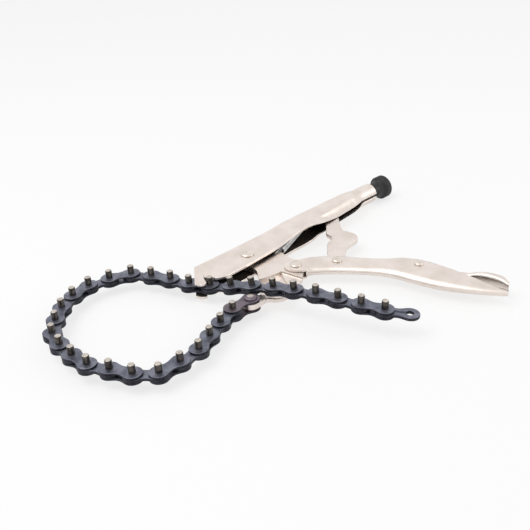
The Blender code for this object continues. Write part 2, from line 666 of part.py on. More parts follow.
def make_screw(root):
    """Adjusting screw, the bush that guides it and the knob on its end."""
    tip = SCREW_SEAT.x + LINK_TIP_RADIUS + TOGGLE_GAP
    screw_end = REAR_REACH + KNOB_NECK_LENGTH + KNOB_LENGTH / 2
    chamfer = SCREW_RADIUS * SCREW_CHAMFER_SHARE
    profile = [
        (SCREW_RADIUS - chamfer, tip), (SCREW_RADIUS, tip + chamfer),
        (SCREW_RADIUS, screw_end - chamfer), (SCREW_RADIUS - chamfer, screw_end),
    ]
    axis_point = Vector((tip, SCREW_AXIS_HEIGHT, 0.0))
    mesh = along_screw(turned("adjusting_screw", profile, 20))
    add_object("adjusting_screw", mesh, NICKEL, axis_point, root)
    bush_front = REAR_REACH - BUSH_LENGTH
    flat = radians(180 - TUBE_SLIT_DEG) / (CHANNEL_STEPS + 7)
    outer = circle((0, 0), (TUBE_RADIUS - BODY_SHEET) * cos(flat) - FACE_GAP, 20)
    inner = circle((0, 0), hole_radius(SCREW_RADIUS, PIN_GAP, 20), 20)
    bush = along_screw(prism("threaded_bush", outer, bush_front, REAR_REACH, [inner]))
    bush_origin = Vector((bush_front, SCREW_AXIS_HEIGHT, 0.0))
    add_object("threaded_bush", bush, SPRING_STEEL, bush_origin, root)
    make_knob(root, screw_end)


def make_knob(root, screw_end):
    """The knob: a ribbed drum with a neck, a dished face and a socket for the screw."""
    start = REAR_REACH + FACE_GAP
    drum = start + KNOB_NECK_LENGTH
    end = drum + KNOB_LENGTH
    bevel = KNOB_LENGTH * KNOB_BEVEL_SHARE
    socket = hole_radius(SCREW_RADIUS, PIN_GAP, 2 * KNOB_RIBS)
    dish_rim, dish_floor = [KNOB_RADIUS * share for share in KNOB_DISH_SHARES]
    rings = [
        (socket, start, 0), (KNOB_NECK_RADIUS, start, 0), (KNOB_NECK_RADIUS, drum, 0),
        (KNOB_RADIUS - bevel, drum, 0.5), (KNOB_RADIUS, drum + bevel, 1),
        (KNOB_RADIUS, end - bevel, 1),
        (KNOB_RADIUS - bevel, end, 0.5), (dish_rim, end, 0), (dish_floor, end - KNOB_DISH, 0),
    ]
    count = 2 * KNOB_RIBS
    verts = []
    for radius, height, ribbed in rings:
        for i in range(count):
            a = 2 * pi * i / count
            r = radius - KNOB_RIB_DEPTH * ribbed * (i % 2)
            verts.append((r * cos(a), r * sin(a), height))
    for i in range(count):
        a = 2 * pi * i / count
        verts.append((socket * cos(a), socket * sin(a), screw_end + FACE_GAP))
    faces = []
    total = len(rings)
    for ring in range(total - 1):
        for i in range(count):
            j = (i + 1) % count
            a, b = ring * count, (ring + 1) * count
            faces.append((a + i, a + j, b + j, b + i))
    last = (total - 1) * count
    faces.append(tuple(range(last, last + count)))
    base = total * count
    for i in range(count):
        j = (i + 1) % count
        faces.append((i, j, base + j, base + i))
    faces.append(tuple(range(base, base + count)))
    mesh = along_screw(mesh_from("adjusting_knob", verts, faces))
    knob_origin = Vector((start, SCREW_AXIS_HEIGHT, 0.0))
    add_object("adjusting_knob", mesh, BLACKENED, knob_origin, root)


def make_spring(root):
    """The return spring: a close helix with a hook at the jaw and one at the post."""
    line = SPRING_POST - SPRING_EYE
    direction = line.normalized()
    side = Vector((-direction.y, direction.x, 0.0))
    up = Vector((0.0, 0.0, 1.0))
    turn_step = 1.5 * pi / 8
    post_loop = (SPRING_POST_RADIUS + SPRING_WIRE + PIN_GAP) / cos(turn_step / 2) + PIN_GAP
    coil_start = SPRING_EYE + direction * SPRING_LEAD
    coil_end = SPRING_POST - direction * (SPRING_LEAD / 2 + post_loop)
    steps = SPRING_TURNS * SPRING_STEPS
    over = SPRING_EYE + up * (JAW_HALF + SPRING_WIRE + PIN_GAP)
    points = [SPRING_EYE - up * (JAW_HALF + SPRING_WIRE * 2), over]
    points += [over + direction * SPRING_WIRE * 2, over + direction * SPRING_LEAD * SPRING_STRAIGHT_SHARE]
    for i in range(steps + 1):
        t = i / steps
        turn = 2 * pi * i / SPRING_STEPS + pi / 2
        centre = coil_start.lerp(coil_end, t)
        points.append(centre + side * SPRING_RADIUS * cos(turn) + up * SPRING_RADIUS * sin(turn))
    for i in range(9):
        a = pi * 0.8 - turn_step * i
        points.append(SPRING_POST + direction * post_loop * cos(a) + side * post_loop * sin(a))
    mesh = swept_wire("return_spring", points, SPRING_WIRE, 4)
    add_object("return_spring", mesh, SPRING_STEEL, SPRING_EYE.copy(), root, smooth_deg=80.0)
    top = BODY_HALF_REAR - BODY_SHEET / 2 - PIN_GAP
    shank = [(SPRING_POST_RADIUS, -top), (SPRING_POST_RADIUS, top)]
    post = turned("spring_post", shank, 12, SPRING_POST)
    add_object("spring_post", post, NICKEL, SPRING_POST.copy(), root)


def swept_wire(name, points, radius, sides):
    """A round wire along a path, with its frame carried from point to point without twist."""
    tangents = []
    for i in range(len(points)):
        ahead = points[min(i + 1, len(points) - 1)] - points[max(i - 1, 0)]
        tangents.append(ahead.normalized())
    normal = tangents[0].orthogonal().normalized()
    loops = []
    for point, tangent in zip(points, tangents):
        normal = (normal - tangent * normal.dot(tangent)).normalized()
        other = tangent.cross(normal)
        turns = [2 * pi * i / sides for i in range(sides)]
        loops.append([
            tuple(point + normal * radius * cos(a) + other * radius * sin(a)) for a in turns
        ])
    return loft(name, loops, False)


def plate_outline():
    """A leaf-chain plate: two round ends about the pins and a waist between them."""
    right = arc((PITCH, 0.0), PLATE_RADIUS, -PLATE_WRAP_DEG, PLATE_WRAP_DEG, PLATE_END_STEPS)
    left_from, left_to = 180 - PLATE_WRAP_DEG, 180 + PLATE_WRAP_DEG
    left = arc((0.0, 0.0), PLATE_RADIUS, left_from, left_to, PLATE_END_STEPS)
    return right + [(PITCH / 2, PLATE_WAIST)] + left + [(PITCH / 2, -PLATE_WAIST)]


def pin_hole(place, clearance):
    """A pin's hole in a plate."""
    radius = hole_radius(CHAIN_PIN_RADIUS, clearance, PIN_SIDES)
    return circle((place, 0.0), radius, PIN_SIDES)


def inner_link_mesh():
    """One thick plate with two running holes."""
    holes = [pin_hole(0.0, 2 * PIN_GAP), pin_hole(PITCH, 2 * PIN_GAP)]
    return prism("inner_link", plate_outline(), -INNER_HALF, INNER_HALF, holes)


def plate_caps(faces, loops, first, flip):
    """Cap an outline that has holes in it, at one height."""
    for tri in tessellate_polygon([[Vector((x, y, 0.0)) for x, y in loop] for loop in loops]):
        faces.append(tuple(first + i for i in (reversed(tri) if flip else tri)))


def outer_link_mesh():
    """Two plates pressed onto two pins, which stand far out on one side.

    Each level holds the plate outline and both pin circles, so the plates and pins are one solid.
    """
    outline = plate_outline()
    pins = [circle((place, 0.0), CHAIN_PIN_RADIUS, PIN_SIDES) for place in (0.0, PITCH)]
    ends = [circle((place, 0.0), CHAIN_PIN_RADIUS - PIN_CHAMFER, PIN_SIDES) for place in (0.0, PITCH)]
    low, high = -STACK_HALF - PIN_BELOW, STACK_HALF + PIN_ABOVE
    verts, faces = [], []
    size = len(outline)
    level_size = size + 2 * PIN_SIDES
    levels = (-STACK_HALF, -OUTER_INSIDE, OUTER_INSIDE, STACK_HALF)
    for level in levels:
        verts += [(x, y, level) for loop in [outline] + pins for x, y in loop]
    for k in range(len(levels)):
        plate_caps(faces, [outline] + pins, k * level_size, k % 2 == 0)
    for k in (0, 2):
        join_rings(faces, k * level_size, (k + 1) * level_size, size)
    for number, (pin, end) in enumerate(zip(pins, ends)):
        offset = size + number * PIN_SIDES
        join_rings(faces, level_size + offset, 2 * level_size + offset, PIN_SIDES)
        for ring_at, chamfer_at, tip_at in ((0, low + PIN_CHAMFER, low), (3, high - PIN_CHAMFER, high)):
            base = len(verts)
            verts += [(x, y, chamfer_at) for x, y in pin] + [(x, y, tip_at) for x, y in end]
            join_rings(faces, ring_at * level_size + offset, base, PIN_SIDES)
            join_rings(faces, base, base + PIN_SIDES, PIN_SIDES)
            faces.append(tuple(range(base + PIN_SIDES, base + 2 * PIN_SIDES)))
    return mesh_from("outer_link", verts, faces)


def join_rings(faces, first, second, size):
    """Wall between two rings of equal size."""
    for i in range(size):
        j = (i + 1) % size
        faces.append((first + i, first + j, second + j, second + i))


def link_length(index):
    """A link's plan length: the pitch, shortened where the link climbs."""
    return PITCH * cos(link_climb(index))


def link_climb(index):
    """A link's climb as an angle."""
    if index < CLIMB_START:
        return 0.0
    return radians(CLIMB_DEG[index - CLIMB_START])


def chain_headings():
    """Plan headings of all links, with the loop closed from the anchor onto the hook.

    The listed headings are turned by the least total amount that brings the hooked pin to its seat.
    """
    turns = np.radians(np.array(LOOP_HEADINGS_DEG, dtype=float))
    lengths = np.array([link_length(i) for i in range(HOOKED_PIN)])
    goal = np.array([SEAT.x - ANCHOR_PIVOT.x, SEAT.y - ANCHOR_PIVOT.y])
    for _ in range(60):
        end = np.array([np.sum(lengths * np.cos(turns)), np.sum(lengths * np.sin(turns))])
        slope = np.array([-lengths * np.sin(turns), lengths * np.cos(turns)])
        turns = turns + np.linalg.pinv(slope) @ (goal - end)
    return list(turns) + [radians(a) for a in TAIL_HEADINGS_DEG]


def chain_pins():
    """Centre of the stack at each pin, from the anchor to the free hole."""
    pins = [ANCHOR_PIVOT.copy()]
    for index, heading in enumerate(chain_headings()):
        step = Vector((cos(heading), sin(heading), 0.0)) * link_length(index)
        step.z = PITCH * sin(link_climb(index))
        pins.append(pins[-1] + step)
    return pins


def link_rotation(index, reverse=False):
    """Rotation that lays a link's own X along its run, with its pins across it."""
    heading, climb = chain_headings()[index], link_climb(index)
    if reverse:
        heading, climb = heading + pi, -climb
    return (Matrix.Rotation(heading, 4, "Z") @ Matrix.Rotation(-climb, 4, "Y")).to_euler()


def place_link(name, mesh, finish, origin, rotation, root):
    """Place one link on its first pin."""
    mesh.shade_smooth()
    mesh.set_sharp_from_angle(angle=radians(35))
    item = bpy.data.objects.new(name, mesh)
    item.location = origin
    item.rotation_euler = rotation
    item.parent = root
    bpy.context.collection.objects.link(item)
    if not mesh.materials:
        mesh.materials.append(make_material(mesh.name + "_finish", finish))
    return item


def link_name(index):
    """Name of the link between one pin and the next."""
    if index == LINK_COUNT - 1:
        return "end_link"
    kind = "outer" if index % 2 else "inner"
    return f"{kind}_link_{index:02d}"


def make_chain(root):
    """The chain: anchor plates on the nose, then outer and inner links by turns."""
    pins = chain_pins()
    holes = [
        circle((0.0, 0.0), hole_radius(SMALL_PIVOT_RADIUS, PIN_GAP, 16), 16),
        pin_hole(PITCH, PIN_GAP),
    ]
    anchor_top = ANCHOR_INSIDE + OUTER_PLATE
    for name, low, high in (
        ("anchor_plate_upper", ANCHOR_INSIDE, anchor_top),
        ("anchor_plate_lower", -anchor_top, -ANCHOR_INSIDE),
    ):
        plate = prism(name, plate_outline(), low, high, holes)
        place_link(name, plate, BLUED, pins[0], link_rotation(0), root)
    outer, inner = outer_link_mesh(), inner_link_mesh()
    for index in range(1, LINK_COUNT):
        mesh = outer if index % 2 else inner
        reverse = index == HOOKED_PIN - 1
        origin = pins[index + 1] if reverse else pins[index]
        place_link(link_name(index), mesh, BLUED, origin, link_rotation(index, reverse), root)
    rivet("anchor_rivet", ANCHOR_PIVOT, SMALL_PIVOT_RADIUS, ANCHOR_HEAD_RADIUS, anchor_top, root)


def rest_on_floor(root):
    """Bring the whole clamp to stand on Z = 0, centred over the origin."""
    bpy.context.view_layer.update()
    graph = bpy.context.evaluated_depsgraph_get()
    low, high = np.full(3, np.inf), np.full(3, -np.inf)
    for item in bpy.data.objects:
        if item.type != "MESH" or item.hide_render:
            continue
        shape = item.evaluated_get(graph)
        mesh = shape.to_mesh()
        points = np.empty(len(mesh.vertices) * 3)
        mesh.vertices.foreach_get("co", points)
        matrix = np.array(item.matrix_world)
        world = points.reshape(-1, 3) @ matrix[:3, :3].T + matrix[:3, 3]
        low, high = np.minimum(low, world.min(axis=0)), np.maximum(high, world.max(axis=0))
        shape.to_mesh_clear()
    root.location = Vector((-(low[0] + high[0]) / 2, -(low[1] + high[1]) / 2, -low[2]))
    bpy.context.view_layer.update()


def main():
    """Build every piece of the clamp."""
    clear_scene()
    root = bpy.data.objects.new("clamp", None)
    bpy.context.collection.objects.link(root)
    make_body(root)
    make_jaw(root)
    make_handle(root)
    make_toggle_link(root)
    make_lever(root)
    make_screw(root)
    make_spring(root)
    make_chain(root)
    lever_wide = steady(HANDLE_STATION_SHARES, LEVER_ALONG_SHARE)[2]
    lever_face = HANDLE_HALF * lever_wide
    small = SMALL_PIVOT_RADIUS
    rivet("main_pivot_rivet", (0.0, 0.0), MAIN_PIVOT_RADIUS, MAIN_HEAD_RADIUS, BODY_HALF_FRONT, root)
    rivet("handle_pivot_rivet", HANDLE_PIVOT, small, HANDLE_HEAD_RADIUS, HANDLE_HALF, root)
    rivet("toggle_pivot_rivet", TOGGLE_PIVOT, small, TOGGLE_HEAD_RADIUS, HANDLE_HALF, root)
    rivet("lever_pivot_rivet", LEVER_PIVOT, small, LEVER_HEAD_RADIUS, lever_face, root)
    rest_on_floor(root)
    return root


main()
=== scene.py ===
# %% [markdown]
# # A locking chain clamp
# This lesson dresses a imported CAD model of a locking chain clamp: toggle pliers lying on their side,
# whose jaw carries a length of leaf chain that is laid in a loop and caught in a hook.
# The CAD model gives every piece its place. Each visible piece is drawn again here as a fine surface
# worked out with numpy, and gets a finish made of shader nodes.

# %% Load the frame
import json
import math

import bmesh
import bpy
import numpy as np
from mathutils import Matrix

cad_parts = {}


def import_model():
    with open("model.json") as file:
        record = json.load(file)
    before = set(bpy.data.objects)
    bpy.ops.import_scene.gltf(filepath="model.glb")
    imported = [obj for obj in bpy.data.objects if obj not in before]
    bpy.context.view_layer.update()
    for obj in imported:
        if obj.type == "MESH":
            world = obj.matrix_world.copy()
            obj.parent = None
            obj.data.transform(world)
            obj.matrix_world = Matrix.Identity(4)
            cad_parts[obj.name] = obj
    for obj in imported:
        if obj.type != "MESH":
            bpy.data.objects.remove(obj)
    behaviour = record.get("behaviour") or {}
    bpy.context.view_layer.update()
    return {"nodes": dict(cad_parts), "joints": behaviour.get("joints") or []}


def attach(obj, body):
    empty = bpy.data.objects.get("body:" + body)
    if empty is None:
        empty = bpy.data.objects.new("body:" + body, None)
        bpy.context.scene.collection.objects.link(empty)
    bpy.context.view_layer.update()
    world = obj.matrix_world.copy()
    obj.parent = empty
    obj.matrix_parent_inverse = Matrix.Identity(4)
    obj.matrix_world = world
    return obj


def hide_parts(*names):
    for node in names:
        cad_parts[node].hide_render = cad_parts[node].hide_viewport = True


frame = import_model()
joint_place = {j["name"]: np.array(j["pos_m"]) for j in frame["joints"] if "pos_m" in j}
MM = 0.001

# %% [markdown]
# ## One origin for all pieces
# The clamp was drawn about its main pivot: +X runs back to the knob, +Y to the closed back of the body
# and +Z up along the pivots. The joint of the jaw sits on that pivot, so its place in the frame is the
# offset from drawing to world. All the sizes below are in millimetres from that pivot.

# %% Place helpers
PIVOT = (joint_place["jaw_pivot"] * np.array([1.0, 1.0, 0.0])
         + np.array([0.0, 0.0, joint_place["chain_anchor"][2]]))


def world(points):
    """Millimetres from the main pivot, turned into metres in the world: p / 1000 + pivot."""
    return np.asarray(points, float) * MM + PIVOT


print("main pivot", np.round(PIVOT, 5))

# %% [markdown]
# ## Surfaces from arrays
# A surface here is a grid: one index runs round or across a section, the other along the piece.
# The grid becomes quads in one step, with no loop over points. A pole is a row whose points all fall
# together. Merging doubles turns its quads into triangles and closes the seam.

# %% Grid helpers
def grid_quads(rows, columns, wrap_rows=False, wrap_columns=False):
    """Quads of a grid of points: (i, j), (i, j+1), (i+1, j+1), (i+1, j), wrapping where asked."""
    i = np.arange(rows if wrap_rows else rows - 1)
    j = np.arange(columns if wrap_columns else columns - 1)
    i, j = [a.ravel() for a in np.meshgrid(i, j, indexing="ij")]
    i2, j2 = (i + 1) % rows, (j + 1) % columns
    return np.stack([i * columns + j, i * columns + j2, i2 * columns + j2, i2 * columns + j], axis=1)


def shell(points, wrap_rows=False, wrap_columns=False, finish=0):
    """A grid of points (rows, columns, 3) as a shell: its points, quads and finish number per quad."""
    points = np.asarray(points, float)
    rows, columns = points.shape[:2]
    quads = grid_quads(rows, columns, wrap_rows, wrap_columns)
    return points.reshape(-1, 3), quads, np.full(len(quads), finish)


def together(*shells):
    """Several shells as one: the points follow each other, and the quads count on."""
    starts = np.cumsum([0] + [len(s[0]) for s in shells[:-1]])
    points = np.concatenate([s[0] for s in shells])
    quads = np.concatenate([s[1] + start for s, start in zip(shells, starts)])
    return points, quads, np.concatenate([s[2] for s in shells])


def make_piece(name, solid, finishes, body, nodes, smooth_deg=42.0):
    """Put a shell's arrays into a mesh, close its seams, and hang it on its body in the frame."""
    points, quads, finish = solid
    mesh = bpy.data.meshes.new(name)
    mesh.vertices.add(len(points))
    mesh.vertices.foreach_set("co", points.astype(np.float32).ravel())
    mesh.loops.add(quads.size)
    mesh.loops.foreach_set("vertex_index", quads.astype(np.int32).ravel())
    mesh.polygons.add(len(quads))
    mesh.polygons.foreach_set("loop_start", np.arange(0, quads.size, 4, dtype=np.int32))
    mesh.polygons.foreach_set("material_index", finish.astype(np.int32))
    mesh.update()
    bm = bmesh.new()
    bm.from_mesh(mesh)
    bmesh.ops.remove_doubles(bm, verts=bm.verts, dist=0.000002)
    bmesh.ops.dissolve_degenerate(bm, edges=bm.edges, dist=0.000001)
    bmesh.ops.recalc_face_normals(bm, faces=bm.faces)
    bm.to_mesh(mesh)
    bm.free()
    for material in finishes:
        mesh.materials.append(material)
    mesh.shade_smooth()
    mesh.set_sharp_from_angle(angle=math.radians(smooth_deg))
    item = bpy.data.objects.new(name, mesh)
    bpy.context.scene.collection.objects.link(item)
    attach(item, body)
    if nodes:
        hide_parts(*nodes)
    return item


# %% [markdown]
# ## Smooth curves through a few readings
# The shapes were read from the photograph at a few stations. Two kinds of curve join them. A table of
# stations is read with cubic steps that never overshoot, which suits a pressed channel. An outline is
# joined with a curve that passes through each point with the slope of its neighbours.

# %% Curve helpers
def read_table(table, places):
    """Each column at each place: cubic Hermite steps, with flat slopes at each high and low."""
    table = np.asarray(table, float)
    x, y = table[:, 0], table[:, 1:]
    step = np.diff(x)[:, None]
    rise = np.diff(y, axis=0) / step
    slope = np.zeros_like(y)
    inner = (y[2:] - y[:-2]) / (step[1:] + step[:-1])
    slope[1:-1] = np.where(rise[1:] * rise[:-1] > 0, inner, 0.0)
    k = np.clip(np.searchsorted(x, places) - 1, 0, len(x) - 2)
    t = ((places - x[k]) / step[k, 0])[:, None]
    h = step[k]
    return (
        (2 * t**3 - 3 * t**2 + 1) * y[k] + (t**3 - 2 * t**2 + t) * h * slope[k]
        + (3 * t**2 - 2 * t**3) * y[k + 1] + (t**3 - t**2) * h * slope[k + 1]
    )


def curve_through(points, per_span, closed=True):
    """Points on a Catmull-Rom curve: in each span a cubic whose end slopes join the neighbours."""
    p = np.asarray(points, float)
    if closed:
        a, b, c, d = np.roll(p, 1, 0), p, np.roll(p, -1, 0), np.roll(p, -2, 0)
    else:
        full = np.concatenate([2 * p[:1] - p[1:2], p, 2 * p[-1:] - p[-2:-1]])
        a, b, c, d = full[:-3], full[1:-2], full[2:-1], full[3:]
    t = (np.arange(per_span) / per_span)[None, :, None]
    a, b, c, d = [q[:, None, :] for q in (a, b, c, d)]
    out = 0.5 * (2 * b + (c - a) * t + (2 * a - 5 * b + 4 * c - d) * t**2 + (3 * b - a - 3 * c + d) * t**3)
    out = out.reshape(-1, p.shape[1])
    return out if closed else np.concatenate([out, p[-1:]])


def turn_about(radius, degrees):
    """Points on a circle: radius times (cos, sin) of each angle."""
    angles = np.radians(degrees)
    return np.stack([radius * np.cos(angles), radius * np.sin(angles)], axis=-1)


def turned(profile, centre=(0.0, 0.0), sides=48, finish=0):
    """A turned piece: each (radius, height) of the profile carried round a vertical axis."""
    profile = np.asarray(profile, float)
    angle = 2 * np.pi * np.arange(sides) / sides
    x = centre[0] + profile[:, :1] * np.cos(angle)
    y = centre[1] + profile[:, :1] * np.sin(angle)
    z = np.repeat(profile[:, 1:], sides, axis=1)
    return shell(np.stack([x, y, z], axis=-1), wrap_columns=True, finish=finish)


def tube(path, radius, across, sides=10, finish=0):
    """A round wire: at each point of the path, a circle square to it, measured from 'across'."""
    path = np.asarray(path, float)
    along = np.gradient(path, axis=0)
    along /= np.linalg.norm(along, axis=1, keepdims=True)
    first = np.cross(along, across)
    first /= np.linalg.norm(first, axis=1, keepdims=True)
    second = np.cross(along, first)
    angle = 2 * np.pi * np.arange(sides) / sides
    ring = first[:, None] * np.cos(angle)[None, :, None] + second[:, None] * np.sin(angle)[None, :, None]
    points = path[:, None] + ring * radius
    points = np.concatenate([path[:1, None] + ring[:1] * 0, points, path[-1:, None] + ring[-1:] * 0])
    return shell(points, wrap_columns=True, finish=finish)


# %% [markdown]
# ## The camera
# The photograph's camera was worked out from the chain: its pins are all the same distance apart, which
# fixes the height, the tilt, the small roll and the focal length. The camera is given by three axes.

# %% Camera
CAMERA_MM = (-348.0, -405.0, 287.0)
TILT_DEG, ROLL_DEG = 28.58, -3.8
FOCAL_PIXELS, IMAGE_PIXELS, SENSOR_MM = 824.7, 530, 36.0
ahead = np.array([0.669, 0.743, 0.0]) / np.hypot(0.669, 0.743)
tilt, roll = np.radians(TILT_DEG), np.radians(ROLL_DEG)
forward = ahead * np.cos(tilt) + np.array([0.0, 0.0, -np.sin(tilt)])
right = np.cross(forward, [0.0, 0.0, 1.0])
right /= np.linalg.norm(right)
up = np.cross(right, forward)
rolled_right = right * np.cos(roll) + up * np.sin(roll)
rolled_up = up * np.cos(roll) - right * np.sin(roll)
matrix = np.eye(4)
matrix[:3, :3] = np.stack([rolled_right, rolled_up, -forward], axis=1)
matrix[:3, 3] = world(CAMERA_MM)
lens = bpy.data.cameras.new("photo_camera")
lens.sensor_width = SENSOR_MM
lens.lens = SENSOR_MM * FOCAL_PIXELS / IMAGE_PIXELS
lens.clip_start = 0.01
camera = bpy.data.objects.new("photo_camera", lens)
camera.matrix_world = Matrix(matrix.tolist())
bpy.context.scene.collection.objects.link(camera)
bpy.context.scene.camera = camera
print("camera at", np.round(matrix[:3, 3], 4), "lens", round(lens.lens, 2))

# %% [markdown]
# ## Floor and light
# The clamp was photographed on white. The floor is a pale matt sheet whose shadow stays. For camera,
# glossy and transmission rays most of it is a plain white glow, so that it looks white in the picture
# and in the metal. The world does the same, and lights the clamp softly from all round. One large lamp
# from above gives the shadows their direction, and a weaker one opens them.

# %% Node helper
def add_node(tree, kind, **settings):
    """A new node; settings name its own properties, or its inputs by their label or number."""
    node = tree.nodes.new(kind)
    for key, value in settings.items():
        if hasattr(node, key):
            setattr(node, key, value)
        else:
            node.inputs[key.replace("_", " ")].default_value = value
    return node


def seen_directly(tree):
    """1 for camera, glossy and transmission rays, 0 for the rays that light the piece."""
    path = add_node(tree, "ShaderNodeLightPath")
    first = add_node(tree, "ShaderNodeMath", operation="MAXIMUM")
    second = add_node(tree, "ShaderNodeMath", operation="MAXIMUM")
    tree.links.new(path.outputs["Is Camera Ray"], first.inputs[0])
    tree.links.new(path.outputs["Is Glossy Ray"], first.inputs[1])
    tree.links.new(first.outputs[0], second.inputs[0])
    tree.links.new(path.outputs["Is Transmission Ray"], second.inputs[1])
    return second.outputs[0]


# %% Floor
FLOOR_HALF = 4.0
FLOOR_GLOW_SHARE = 0.7
floor_xy = np.linspace(-FLOOR_HALF, FLOOR_HALF, 5)
floor_grid = np.stack([*np.meshgrid(floor_xy, floor_xy, indexing="ij"), np.zeros((5, 5))], axis=-1)
floor_mesh = bpy.data.meshes.new("floor")
floor_mesh.from_pydata(floor_grid.reshape(-1, 3).tolist(), [], grid_quads(5, 5)[:, ::-1].tolist())
floor = bpy.data.objects.new("floor", floor_mesh)
bpy.context.scene.collection.objects.link(floor)
sheet = bpy.data.materials.new("pale_floor")
sheet.use_nodes = True
tree = sheet.node_tree
paint = tree.nodes["Principled BSDF"]
paint.inputs["Base Color"].default_value = (0.98, 0.98, 0.98, 1.0)
paint.inputs["Roughness"].default_value = 0.9
paint.inputs["Specular IOR Level"].default_value = 0.1
glow = add_node(tree, "ShaderNodeEmission", Strength=1.0)
mix = add_node(tree, "ShaderNodeMixShader")
share = add_node(tree, "ShaderNodeMath", operation="MULTIPLY")
share.inputs[1].default_value = FLOOR_GLOW_SHARE
tree.links.new(seen_directly(tree), share.inputs[0])
tree.links.new(share.outputs[0], mix.inputs[0])
tree.links.new(paint.outputs[0], mix.inputs[1])
tree.links.new(glow.outputs[0], mix.inputs[2])
tree.links.new(mix.outputs[0], tree.nodes["Material Output"].inputs["Surface"])
floor_mesh.materials.append(sheet)

# %% World and lamps
WORLD_LEVEL = 0.62
sky = bpy.data.worlds.new("studio")
bpy.context.scene.world = sky
sky.use_nodes = True
tree = sky.node_tree
backdrop = tree.nodes["Background"]
backdrop.inputs["Color"].default_value = (1.0, 1.0, 1.0, 1.0)
level = add_node(tree, "ShaderNodeMapRange")
level.inputs["To Min"].default_value = WORLD_LEVEL
level.inputs["To Max"].default_value = 1.0
tree.links.new(seen_directly(tree), level.inputs["Value"])
tree.links.new(level.outputs["Result"], backdrop.inputs["Strength"])


def add_lamp(name, place, aim, size, power):
    """A square area lamp at a place, turned so that it looks at the aim."""
    data = bpy.data.lights.new(name, "AREA")
    data.size = size
    data.energy = power
    lamp = bpy.data.objects.new(name, data)
    direction = np.array(aim) - np.array(place)
    direction = direction / np.linalg.norm(direction)
    side = np.cross(direction, [0.0, 0.0, 1.0])
    side /= np.linalg.norm(side)
    turn = np.eye(4)
    turn[:3, :3] = np.stack([side, np.cross(side, direction), -direction], axis=1)
    turn[:3, 3] = place
    lamp.matrix_world = Matrix(turn.tolist())
    bpy.context.scene.collection.objects.link(lamp)
    return lamp


add_lamp("key_lamp", (-0.55, 0.25, 1.15), (0.0, 0.0, 0.0), 0.9, 6.0)
add_lamp("fill_lamp", (0.75, -0.85, 0.7), (0.0, 0.0, 0.0), 0.7, 2.2)
bpy.context.scene.view_settings.view_transform = "Standard"

# %% [markdown]
# ## Finishes
# All the steel here is a Principled shader. What makes it look like metal is small change: a colour
# that drifts a little, a roughness that breaks up into smears, and a fine grain that follows the
# polishing. One function builds them from noise on Object coordinates, so each finish differs only in
# its numbers. Constant numbers stay on the shader's own sockets, where an export can read them.

# %% Finish maker
GRAIN_SCALE = 2600.0 / 9.0
GRAIN_STRETCH = (1.0, 9.0, 9.0)


def make_finish(name, dark, light, rough, metallic, patch=55.0, relief=0.06):
    """Steel: noise mixes two colours, a second noise moves the roughness, a stretched one is the grain."""
    material = bpy.data.materials.new(name)
    material.use_nodes = True
    tree = material.node_tree
    steel = tree.nodes["Principled BSDF"]
    steel.inputs["Metallic"].default_value = metallic
    place = add_node(tree, "ShaderNodeTexCoord").outputs["Object"]
    drift = add_node(tree, "ShaderNodeTexNoise", Scale=patch, Detail=5.0, Roughness=0.62)
    tree.links.new(place, drift.inputs["Vector"])
    ramp = add_node(tree, "ShaderNodeValToRGB")
    ramp.color_ramp.elements[0].position = 0.36
    ramp.color_ramp.elements[0].color = (*dark, 1.0)
    ramp.color_ramp.elements[1].position = 0.62
    ramp.color_ramp.elements[1].color = (*light, 1.0)
    tree.links.new(drift.outputs["Fac"], ramp.inputs["Fac"])
    tree.links.new(ramp.outputs["Color"], steel.inputs["Base Color"])
    smear = add_node(tree, "ShaderNodeTexNoise", Scale=patch * 3.1, Detail=6.0, Roughness=0.7)
    tree.links.new(place, smear.inputs["Vector"])
    spread = add_node(tree, "ShaderNodeMapRange")
    spread.inputs["From Min"].default_value = 0.3
    spread.inputs["From Max"].default_value = 0.7
    spread.inputs["To Min"].default_value = rough[0]
    spread.inputs["To Max"].default_value = rough[1]
    tree.links.new(smear.outputs["Fac"], spread.inputs["Value"])
    tree.links.new(spread.outputs["Result"], steel.inputs["Roughness"])
    along = add_node(tree, "ShaderNodeMapping")
    along.inputs["Scale"].default_value = GRAIN_STRETCH
    along.inputs["Rotation"].default_value = (0.0, 0.0, 0.3)
    tree.links.new(place, along.inputs["Vector"])
    fine = add_node(tree, "ShaderNodeTexNoise", Scale=GRAIN_SCALE, Detail=3.0, Roughness=0.6)
    tree.links.new(along.outputs["Vector"], fine.inputs["Vector"])
    bump = add_node(tree, "ShaderNodeBump", Strength=relief, Distance=0.0003)
    tree.links.new(fine.outputs["Fac"], bump.inputs["Height"])
    tree.links.new(bump.outputs["Normal"], steel.inputs["Normal"])
    return material
